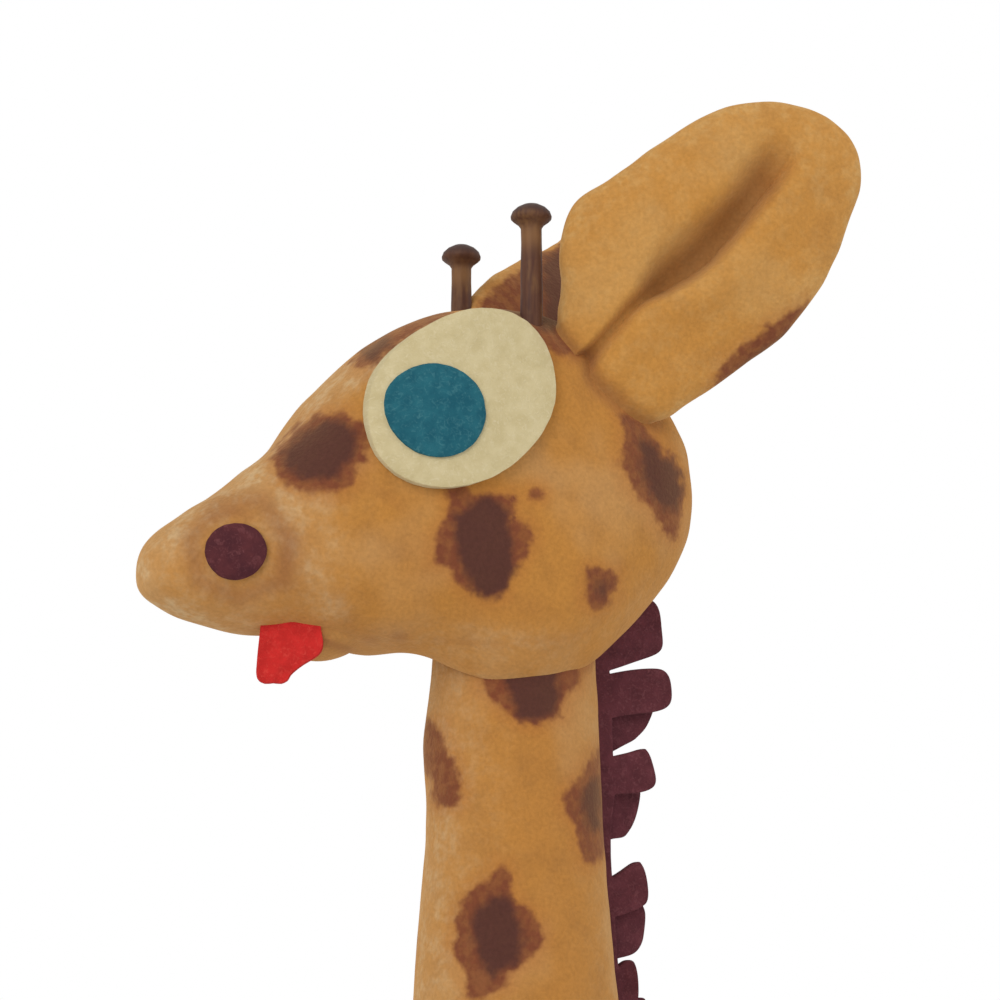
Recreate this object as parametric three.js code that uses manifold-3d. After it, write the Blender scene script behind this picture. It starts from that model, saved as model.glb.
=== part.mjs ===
// A stuffed velveteen giraffe with felt features, about 260 mm tall, standing on four firm legs.
//
// Sizes are in millimetres and +Z is up. The animal faces -X and its left side is -Y.
// It stands on Z = 0, and the origin lies under the middle of its length.
// Every stuffed piece is one closed skin with its filling, sewn to its neighbour at a seam,
// and felt pieces are cut flat and glued on, so they follow the skin under them.

import * as THREE from 'three';
import { mergeVertices } from 'three/addons/utils/BufferGeometryUtils.js';
import Module from 'manifold-3d';

const manifold = await Module();
manifold.setup();

// Driving sizes

const seamGap = 0.3;
const cutOverrun = 30;
const feltThickness = 1.2;

const neckTopHeight = 198;
const neckDepth = 18.6;
const neckWidth = 18.6;
const neckTuckIn = 6;
const neckSunk = 18;

const headLength = 63.8;
const headHeight = 44;
const headWidth = 28.6;
const headDrop = 5.7;
const headAheadShare = 0.6756;

const torsoLength = 94;
const torsoHeight = 50;
const torsoWidth = 44;
const torsoAhead = 17;
const bellyHeight = 74;

const legDepth = 25;
const legWidth = 21;
const legRake = 3;
const legSplay = 3;
const hipHeightShare = 0.4;
const hipSpreadShare = 0.25;
const frontHipShare = 0.234;
const hindHipShare = 0.819;
const soleRadius = 8;
const soleThickness = 1.5;

const earLength = 36;
const earWidth = 26.5;
const earThickness = 7.4;
const earRootRadius = 2.9;
const earRootLength = 17;
const earRootAhead = 1.3;
const earHornClearance = 0.455;
const earBehindHornShare = 0.33;
const earCreaseDepth = 4.6;
const earCreaseWidth = 4;
const earFoldForward = 25;
const earFoldBack = 20;
const earRestLean = { left: 0, right: 9 };

const eyeWhiteLength = 22.7;
const eyeWhiteHeight = 17.1;
const eyeWhiteTilt = 42;
const irisDiameter = 10.2;
const nostrilDiameter = 6.5;

const hornStandsOut = 10.6;
const hornSunk = 10;
const hornStemRadius = 1.2;
const hornHeadRadius = 2.1;
const hornHeadDepth = 2.8;

const chinLength = 9;
const chinWidth = 9.6;
const chinHeight = 4.4;
const tongueWidth = 7.2;
const tongueTipWidth = 3.6;
const tongueLength = 5.6;
const tongueRootLength = 3;
const tongueDroop = 1.6;
const tongueTurn = 25;

const maneReach = 9.2;
const maneBand = 0.8;
const maneAbove = 7.4;
const maneRootDepth = 4;
const maneRunIn = 8.6;

const tailLength = 46;
const tailDiameter = 5.6;
const tailSwing = 70;
const tailRootClearance = 0.4;
const tailRootInset = 0.6;
const tailRootHeightShare = 0.68;
const tuftWidth = 10;
const tuftLength = 17;
const tuftStrands = 5;
const tuftSlit = 0.8;
const tuftTuckIn = 4;

const wireRadius = 1.2;
const wireBelow = 9;
const wireAbove = 24;

// Places on the head, as shares: forward or back of the neck's middle by the head's length,
// outwards by half its width, and up from the neck's top by its height.
// An ear's root has no first share: it stands behind the horn by the ear's own width.

const eyeWhitePlaceShares = [-0.1897, 0, 0.5772];
const irisPlaceShares = [-0.2492, 0, 0.541];
const nostrilPlaceShares = [-0.5455, 0, 0.1955];
const hornPlaceShares = [-0.0345, 0.6434, 0.8705];
const chinPlaceShares = [-0.357, 0, 0.016];
const tonguePlaceShares = [-0.431, 0.2517, 0.0205];
const earRootPlaceShares = [0, 0.7413, 0.6955];

// Directions of a left ear, as shares along X, outwards and up: its root, and its blade.

const earRootDirectionShares = [0.754, 0.131, -0.644];
const earBladeDirectionShares = [0.553, 0.401, 0.73];

// Facets

const aroundBig = 28;
const aroundSmall = 16;
const feltCurveSteps = 14;
const turnedSteps = 14;

const fullTurn = 2 * Math.PI;
const radians = THREE.MathUtils.degToRad;
const vector = (x, y, z) => new THREE.Vector3(x, y, z);

const backHeight = bellyHeight + torsoHeight;
const neckBottomHeight = backHeight - neckSunk;
const neckLength = neckTopHeight + neckTuckIn - neckBottomHeight;

function onHead([forward, outwards, up], side) {
  return vector(headLength * forward, side * headWidth / 2 * outwards, neckTopHeight + headHeight * up);
}

// Solids: three.js geometry in, cuts and joins made by manifold, three.js geometry out

function signedVolume(geometry) {
  const { position } = geometry.attributes;
  const corners = [vector(0, 0, 0), vector(0, 0, 0), vector(0, 0, 0)];
  let sixfold = 0;
  for (let i = 0; i < geometry.index.count; i += 3) {
    corners.forEach((corner, k) => corner.fromBufferAttribute(position, geometry.index.getX(i + k)));
    sixfold += corners[0].dot(corners[1].clone().cross(corners[2]));
  }
  return sixfold;
}

// Shared vertices are merged, and the faces are turned round if they point inwards.
function closed(geometry) {
  const bare = geometry.clone();
  bare.deleteAttribute('normal');
  bare.deleteAttribute('uv');
  const merged = mergeVertices(bare);
  if (signedVolume(merged) < 0) {
    const order = merged.index;
    for (let i = 0; i < order.count; i += 3) {
      const second = order.getX(i + 1);
      order.setX(i + 1, order.getX(i + 2));
      order.setX(i + 2, second);
    }
  }
  return merged;
}

function solid(geometry) {
  const merged = closed(geometry);
  return new manifold.Manifold(new manifold.Mesh({
    numProp: 3,
    vertProperties: new Float32Array(merged.attributes.position.array),
    triVerts: new Uint32Array(merged.index.array),
  }));
}

function geometryOf(body) {
  const mesh = body.getMesh();
  const geometry = new THREE.BufferGeometry();
  geometry.setAttribute('position', new THREE.BufferAttribute(mesh.vertProperties, mesh.numProp));
  geometry.setIndex(new THREE.BufferAttribute(mesh.triVerts, 1));
  geometry.computeVertexNormals();
  return geometry;
}

const without = (body, ...cutters) => cutters.reduce((left, cutter) => left.subtract(cutter), body);

// Stuffed forms: a closed skin through oval sections.
// Each row of a table is [along, high, low, half width, squareness], the first four as shares.

function stuffedSkin(rows, size, place, grow, aroundSteps, stepsPerRow) {
  const line = (column) => new THREE.SplineCurve(rows.map((row) => new THREE.Vector2(row[0], row[column])));
  const [high, low, half, squareness] = [1, 2, 3, 4].map(line);
  const alongSteps = (rows.length - 1) * stepsPerRow;
  const geometry = new THREE.SphereGeometry(1, aroundSteps, alongSteps);
  const { position, uv } = geometry.attributes;
  const rounded = (value, power) => Math.sign(value) * Math.abs(value) ** power;
  for (let i = 0; i < position.count; i += 1) {
    const share = 1 - uv.getY(i);
    const angle = uv.getX(i) * fullTurn;
    const atEnd = share < 1e-6 || share > 1 - 1e-6;
    const topPoint = high.getPoint(share);
    const spread = atEnd ? 0 : grow;
    const top = topPoint.y * size.depth + spread;
    const bottom = low.getPoint(share).y * size.depth - spread;
    const side = atEnd ? 0 : Math.max(half.getPoint(share).y * size.width, 0) / 2 + spread;
    const power = 2 / squareness.getPoint(share).y;
    const across = (top + bottom) / 2 + (top - bottom) / 2 * (atEnd ? 0 : rounded(Math.sin(angle), power));
    const along = topPoint.x * size.length + grow * (2 * share - 1);
    const point = place(along, across, -side * rounded(Math.cos(angle), power));
    position.setXYZ(i, point.x, point.y, point.z);
  }
  return geometry;
}

// Head: a pear of velveteen, narrow at the muzzle, squarer over the brow,
// with cheeks that hang a little over the top of the neck

const headSectionShares = [
  [0.0, 0.279, 0.279, 0.0, 2.2],
  [0.008, 0.33, 0.234, 0.16, 2.2],
  [0.031, 0.37, 0.202, 0.28, 2.2],
  [0.08, 0.427, 0.177, 0.41, 2.2],
  [0.157, 0.511, 0.152, 0.53, 2.3],
  [0.231, 0.607, 0.136, 0.65, 2.4],
  [0.309, 0.75, 0.127, 0.78, 2.6],
  [0.394, 0.875, 0.13, 0.89, 2.8],
  [0.486, 0.961, 0.132, 0.97, 3.0],
  [0.545, 0.989, 0.102, 0.988, 3.0],
  [0.594, 0.998, 0.033, 1.0, 3.0],
  [0.642, 0.997, 0.006, 0.997, 3.0],
  [0.686, 0.991, 0.01, 0.99, 3.0],
  [0.738, 0.975, 0.045, 0.961, 2.9],
  [0.786, 0.948, 0.096, 0.93, 2.8],
  [0.878, 0.871, 0.197, 0.8, 2.6],
  [0.948, 0.793, 0.32, 0.63, 2.4],
  [0.988, 0.709, 0.436, 0.39, 2.2],
  [1.0, 0.573, 0.573, 0.0, 2.2],
];

function headForm(grow) {
  const size = { length: headLength, depth: headHeight, width: headWidth };
  const front = -headLength * headAheadShare;
  const place = (along, across, side) => vector(front + along, side, neckTopHeight - headDrop + across);
  return stuffedSkin(headSectionShares, size, place, grow, aroundBig, 2);
}

// Neck: a straight stuffed column that widens towards the shoulders

const neckSectionShares = [
  [0.0, 0.0, 0.0, 0.0, 2],
  [0.01, 0.4, -0.4, 0.8, 2],
  [0.05, 0.5, -0.5, 1.0, 2],
  [0.24, 0.545, -0.545, 1.09, 2],
  [0.44, 0.62, -0.6, 1.2, 2],
  [0.62, 0.74, -0.66, 1.34, 2],
  [0.76, 0.96, -0.74, 1.54, 2],
  [0.88, 1.35, -0.78, 1.74, 2],
  [0.97, 1.7, -0.7, 1.7, 2],
  [1.0, 0.5, 0.5, 0.0, 2],
];

function neckForm(grow) {
  const size = { length: neckLength, depth: neckDepth, width: neckWidth };
  const place = (along, across, side) => vector(across, side, neckTopHeight + neckTuckIn - along);
  return stuffedSkin(neckSectionShares, size, place, grow, aroundBig, 2);
}

const neckBackLine = new THREE.SplineCurve(
  neckSectionShares.map(([along, back]) => new THREE.Vector2(along, back)),
);

// The X of the neck's back at a height, read from the same sections. Inside the head it stays straight.
function neckBackAt(height) {
  const wanted = (neckTopHeight + neckTuckIn - Math.min(height, neckTopHeight)) / neckLength;
  let [low, high] = [0, 1];
  for (let step = 0; step < 30; step += 1) {
    const middle = (low + high) / 2;
    if (neckBackLine.getPoint(middle).x < wanted) low = middle;
    else high = middle;
  }
  return neckBackLine.getPoint(low).y * neckDepth;
}

// Torso: a short barrel, higher at the shoulders than at the rump

const torsoSectionShares = [
  [0.0, 0.52, 0.52, 0.0, 2.1],
  [0.02, 0.76, 0.32, 0.48, 2.1],
  [0.085, 0.91, 0.15, 0.78, 2.2],
  [0.18, 0.97, 0.06, 0.92, 2.3],
  [0.31, 0.99, 0.01, 1.0, 2.3],
  [0.48, 0.91, 0.0, 1.0, 2.3],
  [0.65, 0.85, 0.02, 0.98, 2.3],
  [0.8, 0.82, 0.06, 0.93, 2.2],
  [0.92, 0.75, 0.17, 0.74, 2.1],
  [0.98, 0.64, 0.32, 0.43, 2.1],
  [1.0, 0.48, 0.48, 0.0, 2.1],
];

function torsoForm(grow) {
  const size = { length: torsoLength, depth: torsoHeight, width: torsoWidth };
  const place = (along, across, side) => vector(along - torsoAhead, side, bellyHeight + across);
  return stuffedSkin(torsoSectionShares, size, place, grow, aroundBig, 2);
}

// Legs: stuffed cones that narrow below the thigh and swell again at a flat foot

const legSectionShares = [
  [0.0, 0.0, 0.0, 0.0, 2],
  [0.02, 0.24, -0.24, 0.46, 2],
  [0.1, 0.44, -0.44, 0.84, 2],
  [0.26, 0.5, -0.5, 1.0, 2],
  [0.5, 0.385, -0.385, 0.8, 2],
  [0.76, 0.325, -0.325, 0.7, 2],
  [0.92, 0.355, -0.355, 0.78, 2],
  [0.985, 0.35, -0.35, 0.77, 2],
  [1.0, 0.32, -0.32, 0.7, 2],
  [1.0, 0.0, 0.0, 0.0, 2],
];

const footHeight = soleThickness + seamGap;
const hipHeight = bellyHeight + torsoHeight * hipHeightShare;
const hipSpread = torsoWidth * hipSpreadShare;
const footSpread = hipSpread + legSplay;
const legEnds = [['front', frontHipShare, -legRake], ['hind', hindHipShare, legRake]];
const hipX = (share) => torsoLength * share - torsoAhead;

function legForm(hipShare, rake, side) {
  const length = hipHeight - footHeight;
  const size = { length, depth: legDepth, width: legWidth };
  const place = (along, across, outwards) => vector(
    hipX(hipShare) + rake * along / length + across,
    side * THREE.MathUtils.lerp(hipSpread, footSpread, along / length) + outwards,
    hipHeight - along,
  );
  return stuffedSkin(legSectionShares, size, place, 0, aroundSmall, 1);
}

function soleForm(hipShare, rake, side) {
  const disc = new THREE.CylinderGeometry(soleRadius, soleRadius, soleThickness, aroundSmall);
  disc.rotateX(fullTurn / 4);
  disc.translate(hipX(hipShare) + rake, side * footSpread, soleThickness / 2);
  return disc;
}

// Ears: a leaf of velveteen, padded on both sides of one lengthwise crease,
// with a rounded root edge that turns in its seam.
// Each row is [along, front edge, back edge, crease, thickness, crease depth] as shares, root edge to tip.

const earSectionShares = [
  [0.0, -0.02, -0.02, -0.02, 0.0, 0.0],
  [0.004, -0.22, 0.18, -0.1, 0.22, 0.1],
  [0.026, -0.29, 0.23, -0.13, 0.5, 0.3],
  [0.074, -0.36, 0.262, -0.14, 0.72, 0.55],
  [0.125, -0.44, 0.28, -0.14, 0.8, 0.72],
  [0.2, -0.565, 0.31, -0.145, 0.88, 0.88],
  [0.33, -0.635, 0.355, -0.145, 0.97, 1.0],
  [0.46, -0.6, 0.385, -0.115, 1.0, 1.0],
  [0.6, -0.545, 0.395, -0.1, 0.95, 0.94],
  [0.72, -0.485, 0.36, -0.1, 0.86, 0.74],
  [0.83, -0.42, 0.295, -0.11, 0.74, 0.4],
  [0.915, -0.33, 0.225, -0.12, 0.6, 0.12],
  [0.97, -0.2, 0.135, -0.1, 0.42, 0.0],
  [0.995, -0.1, 0.04, -0.04, 0.24, 0.0],
  [1.0, -0.03, -0.03, -0.03, 0.0, 0.0],
];

// In the ear's own frame X runs along the root, Y along the blade and Z out of its hollow face.
function earForm(grow, aroundSteps) {
  const line = (column) => new THREE.SplineCurve(
    earSectionShares.map((row) => new THREE.Vector2(row[0], row[column])),
  );
  const [front, back, crease, thickness, hollow] = [1, 2, 3, 4, 5].map(line);
  const geometry = new THREE.SphereGeometry(1, aroundSteps, earSectionShares.length - 1);
  const { position, uv } = geometry.attributes;
  for (let i = 0; i < position.count; i += 1) {
    const share = 1 - uv.getY(i);
    const angle = uv.getX(i) * fullTurn;
    const atEnd = share < 1e-6 || share > 1 - 1e-6;
    const spread = atEnd ? 0 : grow;
    const left = front.getPoint(share).y * earWidth - spread;
    const right = back.getPoint(share).y * earWidth + spread;
    const x = (left + right) / 2 + (atEnd ? 0 : (right - left) / 2 * Math.cos(angle));
    const fatness = atEnd ? 0 : thickness.getPoint(share).y * earThickness / 2 + spread;
    const fromCrease = (x - crease.getPoint(share).y * earWidth) / (earCreaseWidth / 2);
    const depth = earCreaseDepth * Math.max(hollow.getPoint(share).y, 0);
    const dip = depth * Math.exp(-fromCrease * fromCrease) * Math.max(Math.sin(angle), 0) ** 2;
    const y = front.getPoint(share).x * (earLength + earRootRadius) - earRootRadius;
    position.setXYZ(i, x, y + spread * (2 * share - 1), fatness * Math.sin(angle) - dip);
  }
  return geometry;
}

// The round socket that an ear's root edge turns in.
function earSocket() {
  const radius = earRootRadius + seamGap;
  const bar = new THREE.CapsuleGeometry(radius, earRootLength - 2 * earRootRadius, 4, 12);
  bar.rotateZ(fullTurn / 4);
  bar.translate(-earRootAhead, 0, 0);
  return bar;
}

// Where an ear stands on the head, turned by an angle about its root. Side is -1 on the left.
function earPlace(side, fold) {
  const direction = ([along, outwards, up]) => vector(along, side * outwards, up).normalize();
  const edge = direction(earRootDirectionShares);
  const blade = direction(earBladeDirectionShares);
  blade.addScaledVector(edge, -blade.dot(edge)).normalize();
  const outOfFace = edge.clone().cross(blade).multiplyScalar(-side);
  const lean = radians(side < 0 ? earRestLean.left : earRestLean.right) * side;
  edge.applyAxisAngle(outOfFace, lean);
  blade.applyAxisAngle(outOfFace, lean);
  blade.applyAxisAngle(edge, radians(fold));
  outOfFace.applyAxisAngle(edge, radians(fold));
  const place = new THREE.Matrix4().makeBasis(edge, blade, outOfFace);
  const root = onHead(earRootPlaceShares, side);
  const behindHorn = hornStemRadius + earHornClearance + earWidth * earBehindHornShare;
  root.x = onHead(hornPlaceShares, side).x + behindHorn;
  return place.setPosition(root);
}

// The room that an ear sweeps as it folds, which the head's seam leaves free.
function earRoom(side) {
  const forward = -side;
  const folds = [-earFoldBack * forward, 0, earFoldForward * forward];
  const ears = folds.map((fold) => solid(earForm(seamGap, aroundSmall).applyMatrix4(earPlace(side, fold))));
  const socket = solid(earSocket().applyMatrix4(earPlace(side, 0)));
  return ears.reduce((room, ear) => room.add(ear), socket);
}

// Horns: round-headed pegs pushed into the brow

function hornForm(side, grow) {
  const stem = hornStemRadius + grow;
  const top = hornStandsOut;
  const bottom = -hornSunk;
  const outline = new THREE.Path();
  outline.moveTo(0, bottom - grow);
  outline.lineTo(stem * 0.7, bottom - grow);
  outline.lineTo(stem, bottom - grow + stem * 0.6);
  outline.lineTo(stem, top - hornHeadDepth);
  const rim = hornHeadRadius * 0.92;
  const under = top - hornHeadDepth * 0.5;
  const over = top - hornHeadDepth * 0.28;
  outline.quadraticCurveTo(stem, top - hornHeadDepth * 0.75, rim, under);
  outline.quadraticCurveTo(hornHeadRadius * 1.08, (under + over) / 2, rim, over);
  outline.quadraticCurveTo(hornHeadRadius * 0.6, top, 0, top);
  const peg = new THREE.LatheGeometry(outline.getPoints(3), turnedSteps);
  peg.rotateX(fullTurn / 4);
  return peg.translate(...onHead(hornPlaceShares, side).toArray());
}

// Felt: flat shapes laid on the skin, so each is a thin layer that follows the head

function ovalShape(length, height, tilt) {
  return new THREE.Shape().absellipse(0, 0, length / 2, height / 2, 0, fullTurn, false, tilt);
}

// A felt shape drawn in the side view and glued on the head, with other felt layers under it.
function feltOnHead(shape, placeShares, side, layersUnder) {
  const prism = new THREE.ExtrudeGeometry(shape, {
    depth: cutOverrun, bevelEnabled: false, curveSegments: feltCurveSteps,
  });
  prism.rotateX(fullTurn / 4);
  prism.translate(...onHead(placeShares, side).toArray());
  if (side > 0) prism.translate(0, cutOverrun, 0);
  const inner = layersUnder * (feltThickness + seamGap) + seamGap;
  return solid(prism).intersect(solid(headForm(inner + feltThickness))).subtract(solid(headForm(inner)));
}

// Tongue: a felt tab pushed into the mouth and glued, drooping to the left and turned a little forwards

function tongueForm(grow) {
  const half = tongueWidth / 2 + grow;
  const tipHalf = tongueTipWidth / 2;
  const shape = new THREE.Shape();
  shape.moveTo(-half, tongueRootLength + grow);
  shape.lineTo(half, tongueRootLength + grow);
  shape.lineTo(half, -tongueLength * 0.25);
  shape.quadraticCurveTo(
    tongueWidth / 2 - tongueDroop, -tongueLength * 0.6,
    tipHalf - tongueDroop + grow, -tongueLength * 0.86,
  );
  shape.quadraticCurveTo(
    tipHalf / 2 - tongueDroop, -tongueLength - grow,
    -tipHalf / 2 - tongueDroop, -tongueLength - grow,
  );
  shape.quadraticCurveTo(
    -tipHalf - tongueDroop - grow, -tongueLength,
    -tipHalf - tongueDroop - grow, -tongueLength * 0.75,
  );
  shape.quadraticCurveTo(-tipHalf - tongueDroop - grow, -tongueLength * 0.4, -half, 0);
  const depth = feltThickness + 2 * grow;
  const felt = new THREE.ExtrudeGeometry(shape, { depth, bevelEnabled: false, curveSegments: 4 });
  felt.rotateX(fullTurn / 4);
  felt.translate(0, depth / 2, 0);
  felt.rotateZ(-radians(tongueTurn));
  return felt.translate(...onHead(tonguePlaceShares, -1).toArray());
}

function chinForm() {
  const pad = new THREE.SphereGeometry(1, aroundSmall, 12);
  pad.scale(chinLength / 2, chinWidth / 2, chinHeight / 2);
  return pad.translate(...onHead(chinPlaceShares, 1).toArray());
}

// Mane: two felt strips in the seam down the back of the neck, each cut by hand into uneven tabs,
// with the tabs of the far strip set between those of the near one.
// Each row is one tab: [start, end, reach at its top corner, reach at its bottom corner, rise of the one,
// rise of the other]. Start and end are shares of the strip's length below the neck's top,
// and the others are shares of its longest reach.

const nearTabShares = [
  [-0.081, 0.008, 0.82, 0.98, 0.14, 0.3],
  [0.013, 0.065, 0.99, 1.0, 0.12, 0.2],
  [0.124, 0.175, 0.73, 0.76, 0.1, 0.1],
  [0.288, 0.338, 0.56, 0.61, 0.18, 0.16],
  [0.4, 0.464, 0.46, 0.5, 0.08, 0.14],
  [0.533, 0.598, 0.56, 0.52, 0.12, 0.16],
  [0.671, 0.731, 0.52, 0.58, 0.1, 0.14],
  [0.798, 0.858, 0.5, 0.46, 0.12, 0.16],
];
const farTabShares = [
  [0.043, 0.122, 0.72, 0.56, 0.02, 0.26],
  [0.162, 0.237, 0.6, 0.5, 0.02, 0.16],
  [0.331, 0.394, 0.56, 0.63, 0.06, 0.18],
  [0.457, 0.527, 0.5, 0.46, 0.06, 0.12],
  [0.597, 0.66, 0.48, 0.54, 0.1, 0.14],
  [0.719, 0.782, 0.56, 0.5, 0.08, 0.12],
  [0.846, 0.905, 0.46, 0.5, 0.1, 0.12],
];

const maneTop = neckTopHeight + maneAbove;
const maneBottom = backHeight - maneRunIn;
const maneLength = neckTopHeight - maneBottom;

function maneShape(tabShares) {
  const steps = tabShares.length * 3;
  const shape = new THREE.Shape();
  const edge = (height, reach) => shape.lineTo(neckBackAt(height) + reach, height);
  shape.moveTo(neckBackAt(maneTop) - maneRootDepth, maneTop);
  edge(maneTop, maneBand);
  for (const [start, end, topReachShare, bottomReachShare, topRiseShare, bottomRiseShare] of tabShares) {
    const tabTop = neckTopHeight - start * maneLength;
    const tabBottom = neckTopHeight - end * maneLength;
    const outerTop = tabTop + maneReach * topRiseShare;
    const outerBottom = tabBottom + maneReach * bottomRiseShare;
    const topReach = maneReach * topReachShare;
    const bottomReach = maneReach * bottomReachShare;
    const corner = (outerTop - outerBottom) / 4;
    edge(tabTop, maneBand);
    edge(outerTop, topReach - corner);
    edge(outerTop - corner, topReach);
    edge(outerBottom + corner, bottomReach);
    edge(outerBottom, bottomReach - corner);
    edge(tabBottom, maneBand);
  }
  edge(maneBottom, maneBand);
  for (let i = steps; i > 0; i -= 1) {
    const height = THREE.MathUtils.lerp(maneTop, maneBottom, i / steps);
    shape.lineTo(neckBackAt(height) - maneRootDepth, height);
  }
  return shape;
}

function maneStrip(side, tabShares, rooms) {
  const felt = new THREE.ExtrudeGeometry(maneShape(tabShares), { depth: feltThickness, bevelEnabled: false });
  felt.rotateX(fullTurn / 4);
  const inner = seamGap / 2;
  felt.translate(0, side < 0 ? -inner : inner + feltThickness, 0);
  return without(solid(felt), ...rooms);
}

// Tail: a stuffed cord of velveteen that hangs from a round root, with a fringed felt tuft

const tailSectionShares = [
  [0.0, 0.0, 0.0, 0.0, 2],
  [0.012, 0.28, -0.28, 0.56, 2],
  [0.06, 0.5, -0.5, 1.0, 2],
  [0.13, 0.8, -0.2, 1.0, 2],
  [0.22, 1.1, 0.1, 1.0, 2],
  [0.32, 1.26, 0.28, 0.98, 2],
  [0.55, 1.3, 0.38, 0.92, 2],
  [0.8, 1.28, 0.34, 0.94, 2],
  [0.96, 1.2, 0.44, 0.8, 2],
  [1.0, 0.82, 0.82, 0.0, 2],
];

// In the tail's own frame the root is the origin and the tail hangs down.
function tailForm(grow) {
  const size = { length: tailLength, depth: tailDiameter, width: tailDiameter };
  const place = (along, across, side) => vector(across, side, tailDiameter / 2 - along);
  return stuffedSkin(tailSectionShares, size, place, grow, aroundSmall, 1);
}

const tuftCentreShare = 0.82;

function tuftForm(grow) {
  const tipHeight = tailDiameter / 2 - tailLength;
  const top = tipHeight + tuftTuckIn;
  const neckHalf = tailDiameter * 0.28;
  const slitTop = tipHeight - tuftLength * 0.3;
  const bottom = tipHeight - tuftLength + tuftTuckIn;
  const shape = new THREE.Shape();
  shape.moveTo(-neckHalf - grow, top + grow);
  shape.lineTo(neckHalf + grow, top + grow);
  shape.lineTo(neckHalf + grow, tipHeight);
  shape.quadraticCurveTo(tuftWidth / 2, tipHeight - tuftTuckIn / 2, tuftWidth / 2 + grow, slitTop);
  const strand = (tuftWidth - tuftSlit * (tuftStrands - 1)) / tuftStrands;
  for (let i = 0; i < tuftStrands; i += 1) {
    const right = tuftWidth / 2 - i * (strand + tuftSlit);
    const shortening = Math.abs(i - (tuftStrands - 1) / 2) * tuftSlit;
    shape.lineTo(right, bottom + shortening);
    shape.lineTo(right - strand, bottom + shortening);
    shape.lineTo(right - strand, slitTop);
    if (i < tuftStrands - 1) shape.lineTo(right - strand - tuftSlit, slitTop);
  }
  shape.quadraticCurveTo(-tuftWidth / 2, tipHeight - tuftTuckIn / 2, -neckHalf - grow, tipHeight);
  const depth = feltThickness + 2 * grow;
  const felt = new THREE.ExtrudeGeometry(shape, { depth, bevelEnabled: false, curveSegments: 4 });
  felt.rotateX(fullTurn / 4);
  felt.translate(tailDiameter * tuftCentreShare, depth / 2, 0);
  return felt;
}

function tailPlace(swing) {
  const place = new THREE.Matrix4().makeRotationY(-radians(swing));
  const rootHeight = bellyHeight + torsoHeight * tailRootHeightShare;
  return place.setPosition(torsoLength - torsoAhead - tailRootInset, 0, rootHeight);
}

function tailRoom() {
  const swings = [0, tailSwing / 2, tailSwing];
  const grown = swings.map((swing) => solid(tailForm(tailRootClearance).applyMatrix4(tailPlace(swing))));
  return grown.reduce((room, tail) => room.add(tail));
}

// Wire: a stiff steel rod from the torso through the neck into the head, which keeps the long neck upright

function wireForm(grow) {
  const bottom = neckBottomHeight - wireBelow;
  const length = neckTopHeight + wireAbove - bottom;
  const rod = new THREE.CapsuleGeometry(wireRadius + grow, length - 2 * wireRadius, 4, 12);
  rod.rotateX(fullTurn / 4);
  rod.translate(0, 0, bottom + length / 2);
  return rod;
}

// Assembly

const velveteen = { color: 0xb9823f, roughness: 0.95, metalness: 0 };
const plumFelt = { color: 0x522d30, roughness: 1, metalness: 0 };
const creamFelt = { color: 0xcfc09a, roughness: 1, metalness: 0 };
const tealFelt = { color: 0x27606e, roughness: 1, metalness: 0 };
const redFelt = { color: 0xbe2c2a, roughness: 1, metalness: 0 };
const brownPeg = { color: 0x63453a, roughness: 0.45, metalness: 0.1 };
const steel = { color: 0x8c8f92, roughness: 0.4, metalness: 1 };

function piece(name, geometry, finish) {
  const mesh = new THREE.Mesh(geometry, new THREE.MeshStandardMaterial(finish));
  mesh.name = name;
  return mesh;
}

const sides = [['left', -1], ['right', 1]];
const giraffe = new THREE.Group();

const wireBore = solid(wireForm(seamGap));
const headRoom = solid(headForm(seamGap));
const neckRoom = solid(neckForm(seamGap));
const torsoRoom = solid(torsoForm(seamGap));

const headSkin = without(
  solid(headForm(0)).add(solid(chinForm())),
  ...sides.map(([, side]) => earRoom(side)),
  ...sides.map(([, side]) => solid(hornForm(side, seamGap))),
  solid(tongueForm(seamGap)),
  wireBore,
);
const neckSkin = without(solid(neckForm(0)), headRoom, torsoRoom, wireBore);
const torsoSkin = without(solid(torsoForm(0)), tailRoom(), wireBore);
giraffe.add(piece('head', geometryOf(headSkin), velveteen));
giraffe.add(piece('neck', geometryOf(neckSkin), velveteen));
giraffe.add(piece('torso', geometryOf(torsoSkin), velveteen));
giraffe.add(piece('neck_wire', wireForm(0), steel));

for (const [sideName, side] of sides) {
  for (const [end, hipShare, rake] of legEnds) {
    const leg = without(solid(legForm(hipShare, rake, side)), torsoRoom);
    giraffe.add(piece(`${end}_${sideName}_leg`, geometryOf(leg), velveteen));
    giraffe.add(piece(`${end}_${sideName}_sole`, soleForm(hipShare, rake, side), plumFelt));
  }

  const ear = new THREE.Group();
  ear.applyMatrix4(earPlace(side, 0));
  ear.add(piece(`${sideName}_ear`, closed(earForm(0, aroundBig)), velveteen));
  giraffe.add(ear);

  giraffe.add(piece(`${sideName}_horn`, hornForm(side, 0), brownPeg));

  const oval = ovalShape(eyeWhiteLength, eyeWhiteHeight, radians(eyeWhiteTilt));
  const white = feltOnHead(oval, eyeWhitePlaceShares, side, 0);
  const disc = feltOnHead(ovalShape(irisDiameter, irisDiameter, 0), irisPlaceShares, side, 1);
  const nose = feltOnHead(ovalShape(nostrilDiameter, nostrilDiameter, 0), nostrilPlaceShares, side, 0);
  giraffe.add(piece(`${sideName}_eye_white`, geometryOf(white), creamFelt));
  giraffe.add(piece(`${sideName}_iris`, geometryOf(disc), tealFelt));
  giraffe.add(piece(`${sideName}_nostril`, geometryOf(nose), plumFelt));
}

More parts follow.
